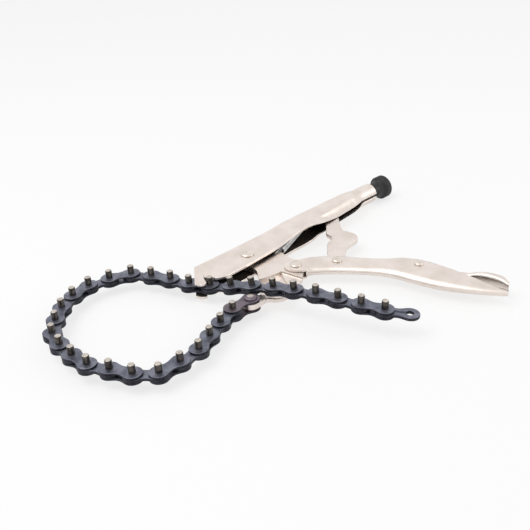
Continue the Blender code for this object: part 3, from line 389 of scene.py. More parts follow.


# %% [markdown]
# The pliers are nickel plated: warm and pale, with a satin sheen from tumbling. The insides of the
# pressed channels are painted almost black as shade. The chain plates are blued: slate blue on their
# faces, with a purple cast on the two plates at the anchor; their stamped edges are painted nearly black
# as shade. The pins' sides are painted dark as shade, and their ground ends are bright. The spring is
# drawn wire, and the knob is blackened.

# %% Finishes
nickel = make_finish("satin_nickel", (0.72, 0.64, 0.585), (0.82, 0.745, 0.695), (0.28, 0.42), 1.0)
rivet_nickel = make_finish("rivet_nickel", (0.68, 0.61, 0.55), (0.82, 0.745, 0.68), (0.18, 0.32), 1.0,
    patch=160.0)
# The insides of the channels are painted near black here: painted shade inside the pressed sheet.
shaded_inside_steel = make_finish("painted_shade_inside", (0.018, 0.013, 0.010), (0.062, 0.047, 0.037), (0.5, 0.78),
    0.35, relief=0.3)
blued = make_finish("blued_plate", (0.115, 0.122, 0.155), (0.225, 0.232, 0.285), (0.36, 0.55), 0.9,
    patch=150.0, relief=0.12)
# The plate edges are painted near black: painted shade on the upright stamped sides.
shaded_plate_edge = make_finish("painted_shade_plate_edge", (0.014, 0.014, 0.019), (0.040, 0.041, 0.052), (0.4, 0.6), 0.7,
    patch=260.0)
anchor_blue = make_finish("purple_blued_plate", (0.120, 0.098, 0.118), (0.215, 0.175, 0.205), (0.34, 0.5),
    0.9, patch=140.0)
# The pin sides are painted dark here: painted shade on the upright shanks.
shaded_pin_side = make_finish("painted_shade_pin_side", (0.030, 0.027, 0.025), (0.110, 0.098, 0.088), (0.22, 0.40), 0.9,
    patch=300.0)
pin_end = make_finish("ground_pin_end", (0.44, 0.395, 0.35), (0.68, 0.62, 0.555), (0.3, 0.48), 0.85,
    patch=420.0)
wire = make_finish("drawn_wire", (0.42, 0.42, 0.42), (0.64, 0.64, 0.64), (0.2, 0.34), 1.0, patch=260.0)
black = make_finish("blackened_knob", (0.012, 0.012, 0.013), (0.032, 0.032, 0.035), (0.42, 0.62), 0.3,
    patch=240.0, relief=0.2)
print("finishes", len(bpy.data.materials))

# %% [markdown]
# ## Where the chain lies
# The chain has 31 pitches. Each link has a heading in plan, and past the hook a small climb, because
# the tail rides up over the jaw. The headings of the loop were read from the photograph. They are turned
# by the least total amount that brings the caught pin exactly to its seat, with a pseudo-inverse.

# %% Chain line
PITCH = 15.875
ANCHOR = np.array([-38.6, -44.8, 0.0])
SEAT = np.array([-43.2, -8.3, 0.0])
LOOP_DEG = (179, 199, 204, 205, 186, 179, 135, 114, 114, 93, 86, 75, 51, 43, 29, 13, -12, -24, -60, -68,
    -72, -62)
TAIL_DEG = (-60.8, -64.3, -68.3, -72, -73, -72.5, -71.6, -69, -55)
CLIMB_DEG = (-0.4, 2.3, 5.3, 8.2, 7.5, 5.0, 2.5, 0.3, -1.8, -3.0, -4.0)
HOOKED_PIN, LINKS = 22, 31
climb = np.radians(np.concatenate([np.zeros(20), CLIMB_DEG]))
plan = PITCH * np.cos(climb)
heading = np.radians(np.array(LOOP_DEG, float))
for _ in range(60):
    run = plan[:HOOKED_PIN]
    end = np.array([np.sum(run * np.cos(heading)), np.sum(run * np.sin(heading))])
    slope = np.array([-run * np.sin(heading), run * np.cos(heading)])
    heading = heading + np.linalg.pinv(slope) @ ((SEAT - ANCHOR)[:2] - end)
heading = np.concatenate([heading, np.radians(TAIL_DEG)])
steps = np.stack([plan * np.cos(heading), plan * np.sin(heading), PITCH * np.sin(climb)], axis=1)
pins = np.concatenate([ANCHOR[None], ANCHOR + np.cumsum(steps, axis=0)])
known = {0: "chain_anchor", 22: "hooked_pin_22", 30: "tail_pin_30", 10: "chain_pin_10"}
for number, name in known.items():
    print(name, "off by mm", np.round((world(pins[number]) - joint_place[name]) * 1000, 3))


def lay_on_link(points, index):
    """A link's own points, carried to its place: along its run, across it, and up square to both."""
    h, c = heading[index], climb[index]
    along = np.array([np.cos(h) * np.cos(c), np.sin(h) * np.cos(c), np.sin(c)])
    across = np.array([-np.sin(h), np.cos(h), 0.0])
    above = np.array([-np.sin(c) * np.cos(h), -np.sin(c) * np.sin(h), np.cos(c)])
    return world(points @ np.stack([along, across, above]) + pins[index])


# %% [markdown]
# ## Chain plates
# A plate of a leaf chain is stamped from strip: two round ends about the pins, a waist between them,
# and edges that are rounded a little by the punch. Its surface starts on the line between the two pins,
# runs out to the outline, turns round the edge and comes back below. That is a grid: one index goes
# round the outline, the other over the section.

# %% Plate surface
PLATE_RADIUS, PLATE_WAIST, PLATE_WRAP_DEG = 6.4, 4.3, 112.0
EDGE_ROUND = 0.32


def plate_outline():
    """Round ends as arcs about the pins, and a waist as a cubic that leaves each arc along its slope."""
    wrap = np.linspace(-PLATE_WRAP_DEG, PLATE_WRAP_DEG, 33)
    far = turn_about(PLATE_RADIUS, wrap) + [PITCH, 0.0]
    x0, y0 = far[-1]
    dx = PITCH / 2 - x0
    slope = math.tan(math.radians(PLATE_WRAP_DEG - 90.0))
    t = np.linspace(0.0, 1.0, 9)[1:-1]
    from_arc = (2 * t**3 - 3 * t**2 + 1) * y0 + (t**3 - 2 * t**2 + t) * dx * slope
    side = from_arc + (3 * t**2 - 2 * t**3) * PLATE_WAIST
    waist = np.stack([x0 + dx * t, side], axis=1)
    middle = np.array([[PITCH / 2, PLATE_WAIST]])
    half = np.concatenate([waist, middle])
    mirror = np.stack([PITCH - half[::-1][1:, 0], half[::-1][1:, 1]], axis=1)
    upper = np.concatenate([half, mirror])
    near = np.stack([PITCH - far[:, 0], far[:, 1]], axis=1)[::-1]
    near = near[np.argsort(-np.unwrap(np.arctan2(near[:, 1], near[:, 0]) % (2 * np.pi)))][::-1]
    lower = np.stack([PITCH - upper[:, 0], -upper[:, 1]], axis=1)
    return np.concatenate([far, upper, near, lower])


def plate(low, high, hole=None):
    """A plate between two heights: centre line, outline set in, edge (finish 3, painted near black as
    shade), and the same below.
    """
    line = plate_outline()
    ahead = np.roll(line, -1, 0) - np.roll(line, 1, 0)
    inward = np.stack([-ahead[:, 1], ahead[:, 0]], axis=1) / np.linalg.norm(ahead, axis=1, keepdims=True)
    core = np.stack([np.clip(line[:, 0], 0.0, PITCH), np.zeros(len(line))], axis=1)
    if hole:
        near_hole = line[:, 0] > PITCH - hole
        angle = np.arctan2(line[:, 1], line[:, 0] - PITCH)
        widest = np.abs(angle[near_hole]).max()
        ring = turn_about(hole, np.degrees(np.pi * angle / widest)) + [PITCH, 0.0]
        core = np.where(near_hole[:, None], ring, core)
    r = EDGE_ROUND
    section = ((None, 0.0), (3 * r, 0.0), (r, 0.0), (0.3 * r, 0.3 * r), (0.0, r))
    top = [np.column_stack([core if inset is None else line + inward * inset,
        np.full(len(line), high - drop)])
           for inset, drop in section]
    under = [np.column_stack([core if inset is None else line + inward * inset,
        np.full(len(line), low + drop)])
             for inset, drop in section[::-1]]
    points, quads, finish = shell(np.stack(top + under), wrap_rows=hole is not None, wrap_columns=True)
    row = np.arange(len(quads)) // len(line)
    # Finish 3 is the rounded edge, painted near black as shade.
    finish[((row >= len(section) - 2) & (row <= len(section))) | (row >= 2 * len(section) - 1)] = 3
    return points, quads, finish


# %% [markdown]
# ## Chain pins
# The pins of this chain stand far out above, so that the hook can catch them, and only a little below. A
# pin is a turned piece: a straight shank, a wide chamfer and a faint dimple in its ground end.

# %% Pin surface
PIN_RADIUS, PIN_CHAMFER = 2.3, 0.7
STACK_HALF, PIN_ABOVE, PIN_BELOW = 2.65, 6.0, 1.7


def chain_pin(place):
    """A pin through a plate at one place: ground end, chamfer, shank, chamfer, lower end."""
    high, low = STACK_HALF + PIN_ABOVE, -STACK_HALF - PIN_BELOW
    r, c = PIN_RADIUS, PIN_CHAMFER
    top = turned([(0.0, high - 0.12), (0.5 * r, high - 0.05), (r - c, high),
        (r - 0.3 * c, high - 0.3 * c)],
                 (place, 0.0), 28, finish=2)
    # The shank takes finish 1, its sides painted dark as shade.
    shank = turned([(r - 0.3 * c, high - 0.3 * c), (r, high - c), (r, low + c),
        (r - 0.3 * c, low + 0.3 * c)],
                   (place, 0.0), 28, finish=1)
    foot = turned([(r - 0.3 * c, low + 0.3 * c), (r - c, low), (0.0, low)], (place, 0.0), 28, finish=2)
    return together(top, shank, foot)


# %% Every link of the chain
INNER_HALF, OUTER_INSIDE, OUTER_PLATE = 1.1, 1.5, 1.15
ANCHOR_INSIDE, FREE_HOLE = 2.95, 2.6
outer_plates = together(plate(OUTER_INSIDE, STACK_HALF), plate(-STACK_HALF, -OUTER_INSIDE))
outer_link = together(outer_plates, chain_pin(0.0), chain_pin(PITCH))
inner_link = plate(-INNER_HALF, INNER_HALF)
end_link = plate(-INNER_HALF, INNER_HALF, hole=FREE_HOLE)
# Finish slots: blued faces, pin sides painted dark as shade, bright ground pin ends, plate edges painted
# near black as shade.
chain_finishes = [blued, shaded_pin_side, pin_end, shaded_plate_edge]
for index in range(1, LINKS):
    kind = "end" if index == LINKS - 1 else ("outer" if index % 2 else "inner")
    node = "end_link" if kind == "end" else f"{kind}_link_{index:02d}"
    points, quads, finish = {"end": end_link, "outer": outer_link, "inner": inner_link}[kind]
    solid = (lay_on_link(points, index), quads, finish)
    make_piece("dressed_" + node, solid, chain_finishes, node, [node])
for side, sign in (("upper", 1), ("lower", -1)):
    heights = sorted((sign * ANCHOR_INSIDE, sign * (ANCHOR_INSIDE + OUTER_PLATE)))
    points, quads, finish = plate(*heights)
    node = "anchor_plate_" + side
    solid = (lay_on_link(points, 0), quads, finish)
    make_piece("dressed_" + node, solid, [anchor_blue, shaded_pin_side, pin_end, shaded_plate_edge],
        "anchor_plates", [node])
print("outer link quads", len(outer_link[1]), "inner link quads", len(inner_link[1]))

# %% [markdown]
# ## The fixed body
# The body is one pressing of 1.9 mm sheet. At the front its two cheeks end in the hook, in the middle
# they flare apart, further back their edges curl in towards the toggle link, and at the rear the sheet
# is rolled into a tube. It could be bent from a flat blank in Blender, but a channel section whose
# numbers change along the body says the same thing in a few lines: each station is one closed loop,
# outer side and inner side, and the loops are skinned. In front, the loops fan out so that the cheek
# edge can follow the hook.

# %% Section of a channel
BEAD_PLACE, BEAD_HEIGHT, BEAD_WIDTH = 6.2, 0.35, 0.8
RECESS_DEPTH, RECESS_PLACE, RECESS_HALF = 0.9, 0.45 * BEAD_PLACE, 0.38 * BEAD_PLACE


def channel_section(back, edge, half, bend, curl, lip, curl_depth, bend_reach=1.0, panel=0.0):
    """Half a U for each station: lip, sloping panel, cheek, elliptic bend, half of the web.

    Where panel is above 0 the cheek is pressed: a bell-shaped bead stands out at BEAD_PLACE from the
    edge, and a flat-bottomed recess lies between the bead and the edge.
    """
    column = np.ones((len(edge), 1))
    rows = (back, edge, half, bend, curl)
    back, edge, half, bend, curl = [np.asarray(v, float)[:, None] * column for v in rows]
    reach = bend * bend_reach
    a = np.linspace(0.0, 1.0, 15)[None]
    b = np.linspace(0.0, 1.0, 9)[None, 1:]
    c = np.linspace(0.0, np.pi / 2, 9)[None, 1:]
    d = np.linspace(0.0, 1.0, 5)[None, 1:-1]
    depth = [edge + curl_depth * a, edge + curl_depth + (back - reach - edge - curl_depth) * b,
             back - reach + reach * np.sin(c), back + 0 * d]
    height = [-half + (half - lip) * curl * (1 - a), -half + 0 * b, -half + bend - bend * np.cos(c),
              (-half + bend) * (1 - d)]
    depth, height = np.concatenate(depth, axis=1), np.concatenate(height, axis=1)
    middle = back[:, :1]
    depth = np.concatenate([depth, middle, depth[:, ::-1]], axis=1)
    height = np.concatenate([height, 0 * middle, -height[:, ::-1]], axis=1)
    for _ in range(2):
        depth[:, 1:-1] = (depth[:, :-2] + 2 * depth[:, 1:-1] + depth[:, 2:]) / 4
        height[:, 1:-1] = (height[:, :-2] + 2 * height[:, 1:-1] + height[:, 2:]) / 4
    from_edge = np.minimum(depth - edge, 2 * half)
    bead = BEAD_HEIGHT * np.exp(-(((from_edge - BEAD_PLACE) / BEAD_WIDTH) ** 2))
    bead = bead - RECESS_DEPTH * np.exp(-(((from_edge - RECESS_PLACE) / RECESS_HALF) ** 4))
    height = height + np.asarray(panel, float).reshape(-1, 1) * bead * np.sign(height)
    return depth, height


def sheet_loops(outer, inner, round_off):
    """Outer and inner side of a bent sheet as closed loops, with a small chamfer on both edges."""
    def chamfer(end, before, other):
        back = before - end
        over = other - end
        back = back / np.linalg.norm(back, axis=-1, keepdims=True)
        over = over / np.linalg.norm(over, axis=-1, keepdims=True)
        return end + back * round_off, end + over * round_off
    o0, p0 = chamfer(outer[:, 0], outer[:, 1], inner[:, 0])
    o1, p1 = chamfer(outer[:, -1], outer[:, -2], inner[:, -1])
    i0, q0 = chamfer(inner[:, 0], inner[:, 1], outer[:, 0])
    i1, q1 = chamfer(inner[:, -1], inner[:, -2], outer[:, -1])
    pieces = [o0[:, None], outer[:, 1:-1], o1[:, None], p1[:, None], q1[:, None], i1[:, None],
              inner[:, 1:-1][:, ::-1], i0[:, None], q0[:, None], p0[:, None]]
    return np.concatenate(pieces, axis=1)


def skin_sheet(outer, inner, round_off=0.3):
    """Skin the loops and close both ends with strips between the outer and the inner side."""
    loops = sheet_loops(outer, inner, round_off)
    count, around = loops.shape[:2]
    width = outer.shape[1]
    finish = np.zeros((count - 1, around), int)
    # The inner side of the sheet takes finish 1, where the channel's inside is painted near black as
    # shade.
    finish[:, width + 2:width + 1 + width] = 1
    body = shell(world(loops), wrap_columns=True)
    caps = []
    i = np.arange(width - 1)
    partner = (2 * width + 1 - i)
    for base in (0, (count - 1) * around):
        caps.append(np.stack([base + i, base + i + 1, base + partner - 1, base + partner], axis=1))
        caps.append(np.array([[base, base + partner[0], base + partner[0] + 1, base + around - 1]]))
        caps.append(np.array([[base + width - 1, base + width, base + width + 1, base + width + 2]]))
    quads = np.concatenate([body[1]] + caps)
    return body[0], quads, np.concatenate([finish.ravel(), np.zeros(len(quads) - finish.size, int)])


# %% Body numbers
BODY_SHEET, BODY_BEND, TUBE_RADIUS, SCREW_HEIGHT, TUBE_SLIT_DEG = 1.9, 3.0, 8.0, 10.7, 8.0
REAR_REACH, WEB_HEIGHT, CHEEK_DROP, FRONT_REACH = 151.0, 17.4, 12.6, 36.5
HALF_FRONT, HALF_REAR, LIP_HALF, CURL_DEPTH = 6.1, 8.0, 2.5, 7.5
PANEL_FROM, PANEL_TO, PANEL_RAMP = 76.0, 124.0, 9.0
BODY_STATIONS = (
    (-0.110, 0.98, 0.97, 0.0, 0.0, 0.0), (0.000, 0.99, 0.88, 0.0, 0.0, 0.0),
    (0.060, 1.00, 0.83, 0.0, 0.0, 0.0), (0.120, 1.01, 0.77, 0.0, 0.0, 0.0),
    (0.180, 1.02, 0.67, 0.0, 0.0, 0.0), (0.240, 1.02, 0.56, 0.2, 0.0, 0.0),
    (0.300, 1.02, 0.46, 0.55, 0.0, 0.0), (0.358, 1.02, 0.40, 0.88, 0.0, 0.0),
    (0.397, 1.02, 0.37, 0.97, 0.0, 0.05), (0.437, 1.02, 0.36, 1.0, 0.0, 0.2),
    (0.477, 1.02, 0.35, 1.0, 0.0, 0.54), (0.515, 1.02, 0.375, 1.0, 0.0, 0.7),
    (0.556, 1.02, 0.39, 1.0, 0.0, 0.8), (0.636, 1.02, 0.34, 1.0, 0.0, 1.0),
    (0.702, 1.02, 0.26, 1.0, 0.0, 1.0), (0.755, 1.02, 0.20, 1.0, 0.0, 1.0),
    (0.810, 1.02, 0.12, 1.0, 0.12, 1.0), (0.850, 1.02, 0.06, 1.0, 0.45, 1.0),
    (0.880, 1.01, 0.02, 1.0, 0.9, 1.0), (0.905, 1.00, 0.0, 1.0, 1.0, 1.0),
    (1.000, 1.00, 0.0, 1.0, 1.0, 1.0),
)
HOOK_SIZE = 12.0
HOOK_LINE = (
    (-0.81, 0.40), (-0.765, 0.36), (-0.725, 0.175), (-0.62, 0.0), (-0.45, -0.075), (-0.31, -0.05),
    (-0.255, 0.06), (-0.19, 0.20), (-0.12, 0.38), (0.0, 0.50), (0.14, 0.53), (0.27, 0.47), (0.34, 0.33),
    (0.36, 0.08), (0.47, -0.09), (0.69, -0.23), (1.02, -0.33), (1.40, -0.345),
)

# %% Body surface
edge_line = curve_through(np.array(HOOK_LINE) * HOOK_SIZE + SEAT[:2], 7, closed=False)
rest = np.linspace(0.0, 1.0, 8)[1:-1, None]
edge_end = np.array([-16.61, -0.97 * CHEEK_DROP])
edge_line = np.concatenate([edge_line, edge_line[-1] * (1 - rest) + edge_end * rest])
gone = np.concatenate([[0.0], np.cumsum(np.linalg.norm(np.diff(edge_line, axis=0), axis=1))])
fan_web = -FRONT_REACH + (FRONT_REACH - 16.61) * gone / gone[-1]
stations = np.linspace(-0.110, 1.0, 150)
web_share, drop_share, wide, rolled, curl = read_table(BODY_STATIONS, stations).T
edge_x = np.concatenate([edge_line[:, 0], stations * REAR_REACH])
web_x = np.concatenate([fan_web, stations * REAR_REACH])
edge_y = np.concatenate([edge_line[:, 1], -CHEEK_DROP * drop_share])
fan = np.zeros(len(edge_line))
web_y = np.concatenate([fan + 0.98, web_share]) * WEB_HEIGHT
half = HALF_FRONT + (HALF_REAR - HALF_FRONT) * np.concatenate([fan, wide])
rolled, curl = np.concatenate([fan, rolled]), np.concatenate([fan, curl])
rise = np.clip((stations * REAR_REACH - PANEL_FROM) / PANEL_RAMP, 0.0, 1.0)
fall = np.clip((PANEL_TO - stations * REAR_REACH) / (0.4 * PANEL_RAMP), 0.0, 1.0)
pressed = np.concatenate([fan, (rise * fall) ** 2 * (3 - 2 * rise * fall)])


def body_side(inset):
    """One side of the body's sheet: the channel section, mixed with a circle where it is rolled."""
    bend = np.full(len(edge_y), BODY_BEND - 0.6 * inset)
    depth, height = channel_section(web_y - inset, edge_y + inset * curl, half - inset, bend, curl,
        LIP_HALF, CURL_DEPTH,
                                    panel=pressed)
    count = depth.shape[1]
    angle = np.radians(180.0 - TUBE_SLIT_DEG) * np.linspace(-1.0, 1.0, count)[None]
    r = TUBE_RADIUS - inset
    mix = rolled[:, None]
    depth = depth * (1 - mix) + (SCREW_HEIGHT + r * np.cos(angle)) * mix
    height = height * (1 - mix) + r * np.sin(angle) * mix
    share = (web_y[:, None] - depth) / (web_y - edge_y)[:, None]
    x = web_x[:, None] + (edge_x - web_x)[:, None] * share
    return np.stack([x, depth, height], axis=-1)


# The body's inner side takes the near-black painted shade.
body_piece = make_piece("pressed_body", skin_sheet(body_side(0.0), body_side(BODY_SHEET)),
    [nickel, shaded_inside_steel],
                        "body", ["body_shell"])
print("body faces", len(body_piece.data.polygons))

# %% [markdown]
# ## The moving handle
# The handle is a second, narrower channel with a fully rounded back. It rises over the lever's pivot and
# thins towards its end. It is drawn in its own directions: along the handle, and out towards the body.
# Its two ears are flat strips round the pivot, each a closed ribbon that starts where the channel ends.

# %% Handle surface
HANDLE_PIVOT = np.array([14.8, -35.0, 0.0])
HANDLE_DEG, HANDLE_LENGTH, HANDLE_DEPTH = -65.0, 147.0, 29.0
HANDLE_HALF, HANDLE_SHEET, THROAT = 3.5, 1.3, 9.5
handle_along = np.array([math.cos(math.radians(HANDLE_DEG)), math.sin(math.radians(HANDLE_DEG)), 0.0])
handle_out = np.array([-handle_along[1], handle_along[0], 0.0])
HANDLE_STATIONS = (
    (-0.060, -0.45, 0.33, 1.0), (0.030, -0.38, 0.43, 1.0), (0.072, -0.15, 0.53, 1.0),
    (0.110, -0.06, 0.62, 1.0), (0.167, 0.05, 0.69, 1.0), (0.230, 0.13, 0.73, 1.0),
    (0.300, 0.21, 0.785, 0.98), (0.360, 0.26, 0.82, 1.02), (0.420, 0.285, 0.88, 1.13),
    (0.480, 0.26, 0.985, 1.20), (0.540, 0.18, 1.00, 1.22), (0.600, 0.105, 0.955, 1.22),
    (0.660, 0.045, 0.86, 1.22), (0.720, 0.015, 0.745, 1.21), (0.790, 0.008, 0.60, 1.10),
    (0.850, 0.02, 0.47, 1.0), (0.900, 0.04, 0.34, 0.90), (0.950, 0.07, 0.25, 0.80),
    (0.985, 0.095, 0.22, 0.70), (1.000, 0.12, 0.215, 0.55),
)


def on_handle(along, out, height):
    """A point from its distance along the handle, out from its line, and up."""
    along, out, height = np.broadcast_arrays(along, out, height)
    flat = HANDLE_PIVOT + along[..., None] * handle_along + out[..., None] * handle_out
    return flat + height[..., None] * [0, 0, 1]


places = np.linspace(THROAT / HANDLE_LENGTH, 1.0, 120)
back, edge, width = read_table(HANDLE_STATIONS, places).T


def handle_side(inset):
    """One side of the handle's sheet. Depth is measured towards the back, so out is its negative."""
    half = HANDLE_HALF * width - inset
    depth, height = channel_section(-back * HANDLE_DEPTH - inset, -edge * HANDLE_DEPTH, half, half * 0.94,
        0 * half, 0.0, 1.0,
                                    bend_reach=1.75)
    return on_handle(places[:, None] * HANDLE_LENGTH, -depth, height)


EAR_RADIUS = 8.4
ear_u = np.concatenate([-EAR_RADIUS * np.cos(np.linspace(0.0, np.pi / 2, 22)),
    np.linspace(0.0, THROAT, 14)[1:]])
round_v = np.sqrt(np.maximum(EAR_RADIUS**2 - ear_u**2, 0.0))
first_edge = edge[0] * HANDLE_DEPTH
rise = np.clip((ear_u + 3.0) / (THROAT + 3.0), 0.0, 1.0)
ear_top = np.where(ear_u < -3.0, round_v, 0.0) + np.where(ear_u >= -3.0,
    7.85 + (first_edge - 7.85) * (3 * rise**2 - 2 * rise**3), 0.0)
ear_rise = (EAR_RADIUS - 5.2) * (np.maximum(ear_u, 0.0) / THROAT) ** 2
ear_low = np.where(ear_u < 0.0, -round_v, -EAR_RADIUS + ear_rise)
share = np.linspace(0.0, 1.0, 9)[None]
ear_v = ear_top[:, None] * (1 - share) + ear_low[:, None] * share
ears = []
for sign in (1, -1):
    outer = on_handle(ear_u[:, None], ear_v, np.full_like(ear_v, sign * HANDLE_HALF))
    inner = on_handle(ear_u[:, None], ear_v, np.full_like(ear_v, sign * (HANDLE_HALF - HANDLE_SHEET)))
    loops = np.concatenate([outer, inner[:, ::-1]], axis=1)
    cap = loops[-1:, :] * 0 + loops[-1:].mean(axis=1, keepdims=True)
    first_cap = loops[:1] * 0 + loops[:1].mean(axis=1, keepdims=True)
    ears.append(shell(world(np.concatenate([first_cap, loops, cap])), wrap_columns=True))
channel = skin_sheet(handle_side(0.0), handle_side(HANDLE_SHEET), 0.25)
# The handle's inner side takes the near-black painted shade.
handle_piece = make_piece("pressed_handle", together(channel, *ears), [nickel, shaded_inside_steel],
                          "handle", ["handle"])
print("handle faces", len(handle_piece.data.polygons))

# %% [markdown]
# ## The release lever
# The lever is a bar inside the handle that widens into a dished thumb paddle. Each station is a flat
# loop: the upper side is a parabola that sinks where the paddle is dished, the lower side is straight.

# %% Lever surface
LEVER_HALF, LEVER_DISH = 1.8, 1.3
LEVER_STATIONS = (
    (0.36, 0.50, 0.12, 1.0, 0.0), (0.40, 0.55, 0.17, 1.0, 0.0), (0.48, 0.66, 0.22, 1.0, 0.0),
    (0.55, 0.76, 0.30, 1.0, 0.0), (0.60, 0.76, 0.30, 1.0, 0.0), (0.67, 0.66, 0.22, 1.0, 0.0),
    (0.73, 0.69, 0.17, 1.0, 0.0), (0.775, 0.755, 0.14, 1.0, 0.0), (0.81, 0.76, 0.14, 1.1, 0.1),
    (0.84, 0.75, 0.15, 1.9, 0.6), (0.88, 0.71, 0.18, 2.7, 1.0), (0.93, 0.65, 0.21, 2.9, 1.0),
    (0.97, 0.57, 0.22, 2.6, 0.6), (0.995, 0.49, 0.15, 1.9, 0.1),
)
tip_turn = np.linspace(0.0, np.pi / 2, 10)[1:]
places = np.concatenate([np.linspace(0.36, 0.97, 90), 0.995 - 0.025 * np.cos(tip_turn)])
middle, thick, wide, dished = read_table(LEVER_STATIONS, places).T
s = np.linspace(-1.0, 1.0, 19)
half_t = thick[:, None] * HANDLE_DEPTH / 2
rounding = 1 - 0.55 * np.abs(s[None]) ** 6
upper = middle[:, None] * HANDLE_DEPTH + half_t * rounding - LEVER_DISH * dished[:, None] * (1 - s**2)
lower = middle[:, None] * HANDLE_DEPTH - half_t * rounding
out = np.concatenate([upper, lower[:, ::-1]], axis=1)
across = LEVER_HALF * wide[:, None] * np.concatenate([s, s[::-1]])[None]
loops = on_handle(places[:, None] * HANDLE_LENGTH, out, across)
loops = np.concatenate([loops[:1] * 0 + loops[:1].mean(axis=1, keepdims=True), loops,
    loops[-1:] * 0 + loops[-1:].mean(axis=1, keepdims=True)])
make_piece("thumb_lever", shell(world(loops), wrap_columns=True), [nickel],
    "release_lever", ["release_lever"])

# %% [markdown]
# ## The toggle link
# The toggle link is a thick plate stamped with a stop notch on one side and a release bump on the other.
# Its outline is a smooth closed curve through a few points along the line from its pivot to the screw.
# The side wall has rounded corners; top and bottom are drawn as rings that shrink onto that line.

# %% Plate from an outline
def between(start, end, shares):
    """Points given along and to the left of the line from one point to another, as shares of it."""
    line = (np.asarray(end) - np.asarray(start))[:2]
    left = np.array([-line[1], line[0]])
    shares = np.asarray(shares, float)
    return np.asarray(start)[:2] + shares[:, :1] * line + shares[:, 1:] * left


def thick_plate(outline, spine, half, round_off=0.45):
    """A plate about a spine: rings from the nearest spine point out to the outline and round the edge."""
    ahead = np.roll(outline, -1, 0) - np.roll(outline, 1, 0)
    inward = np.stack([-ahead[:, 1], ahead[:, 0]], axis=1) / np.linalg.norm(ahead, axis=1, keepdims=True)
    turn = np.sum(outline[:, 0] * np.roll(outline[:, 1], -1) - np.roll(outline[:, 0], -1) * outline[:, 1])
    inward = inward * np.sign(turn)
    start, line = spine[0], spine[1] - spine[0]
    t = np.clip(((outline - start) @ line) / (line @ line), 0.0, 1.0)
    core = start + t[:, None] * line
    rows = []
    for inset, drop in ((None, 0.0), (3 * round_off, 0.0), (round_off, 0.0),
            (0.6 * round_off, 0.08 * round_off), (0.3 * round_off, 0.3 * round_off),
                        (0.08 * round_off, 0.6 * round_off), (0.0, round_off)):
        flat = core if inset is None else outline + inward * inset
        rows.append(np.column_stack([flat, np.full(len(flat), half - drop)]))
    under = [row * [1.0, 1.0, -1.0] for row in rows[::-1]]
    return shell(world(np.stack(rows + under)), wrap_columns=True)


# %% Toggle link
TOGGLE_PIVOT = HANDLE_PIVOT + handle_along * HANDLE_LENGTH * 0.180 + handle_out * HANDLE_DEPTH * 0.479
SCREW_SEAT = np.array([102.0, SCREW_HEIGHT, 0.0])
LINK_HALF, FOOT_RADIUS, TIP_RADIUS = 1.9, 6.2, 4.0
line_deg = math.degrees(math.atan2(*(SCREW_SEAT - TOGGLE_PIVOT)[1::-1]))
inner_side = ((0.12, 0.066), (0.25, 0.068), (0.355, 0.055), (0.41, 0.022), (0.47, 0.026), (0.53, 0.060),
    (0.63, 0.058), (0.80, 0.055))
outer_side = ((0.86, -0.060), (0.60, -0.076), (0.545, -0.125), (0.50, -0.178), (0.44, -0.200),
    (0.385, -0.186), (0.31, -0.124), (0.25, -0.092), (0.15, -0.078))
foot = turn_about(FOOT_RADIUS, line_deg + np.linspace(255, 110, 9)) + TOGGLE_PIVOT[:2]
tip = turn_about(TIP_RADIUS, line_deg + np.linspace(80, -80, 9)) + SCREW_SEAT[:2]
outline = np.concatenate([foot, between(TOGGLE_PIVOT, SCREW_SEAT, inner_side), tip,
    between(TOGGLE_PIVOT, SCREW_SEAT, outer_side)])
outline = curve_through(outline, 6)
link_solid = thick_plate(outline, (TOGGLE_PIVOT[:2], SCREW_SEAT[:2]), LINK_HALF)
make_piece("stamped_toggle_link", link_solid, [nickel], "toggle_link",
    ["toggle_link"])

# %% [markdown]
# ## The jaw
# The jaw is a thick plate with bosses at its two pivots and a dished heel that passes under the chain.
# The CAD solid already has these forms, but its edges are knife sharp. A copy of it is merged and its
# flat faces joined, and a Bevel modifier breaks the edges as tumbling does on the real part.

# %% Jaw with broken edges
def eased_copy(node, name, finish, body, width):
    """A merged copy of a CAD node whose edges are rounded by a Bevel modifier."""
    mesh = frame["nodes"][node].data.copy()
    mesh.name = name
    bm = bmesh.new()
    bm.from_mesh(mesh)
    bmesh.ops.remove_doubles(bm, verts=bm.verts, dist=0.00001)
    bmesh.ops.dissolve_limit(bm, angle_limit=math.radians(1.5), verts=bm.verts, edges=bm.edges)
    bmesh.ops.recalc_face_normals(bm, faces=bm.faces)
    bm.to_mesh(mesh)
    bm.free()
    mesh.materials.clear()
    mesh.materials.append(finish)
    mesh.shade_smooth()
    item = bpy.data.objects.new(name, mesh)
    bpy.context.scene.collection.objects.link(item)
    bevel = item.modifiers.new("eased_edges", "BEVEL")
    bevel.width = width
    bevel.segments = 3
    bevel.limit_method = "ANGLE"
    bevel.angle_limit = math.radians(32.0)
    bevel.harden_normals = False
    mesh.set_sharp_from_angle(angle=math.radians(50.0))
    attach(item, body)
    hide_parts(node)
    return item


eased_copy("jaw", "dished_jaw", nickel, "jaw", 0.35 * MM)

# %% [markdown]
# ## Rivets
# Five rivets hold the moving pieces. Each head is a low dome with a small punch mark in its middle,
# left by the setting tool. A dome is a turned profile: its height falls with the square root of one
# minus the squared distance from the axis. The rivet at the chain's anchor is blued with its plates, and
# only its middle, where the tool struck, is bright.

# %% Rivets
HEAD_HEIGHT = 1.7
LEVER_PIVOT = HANDLE_PIVOT + handle_along * HANDLE_LENGTH * 0.570 + handle_out * HANDLE_DEPTH * 0.779
lever_face = HANDLE_HALF * read_table(HANDLE_STATIONS, np.array([0.570]))[0, 2]


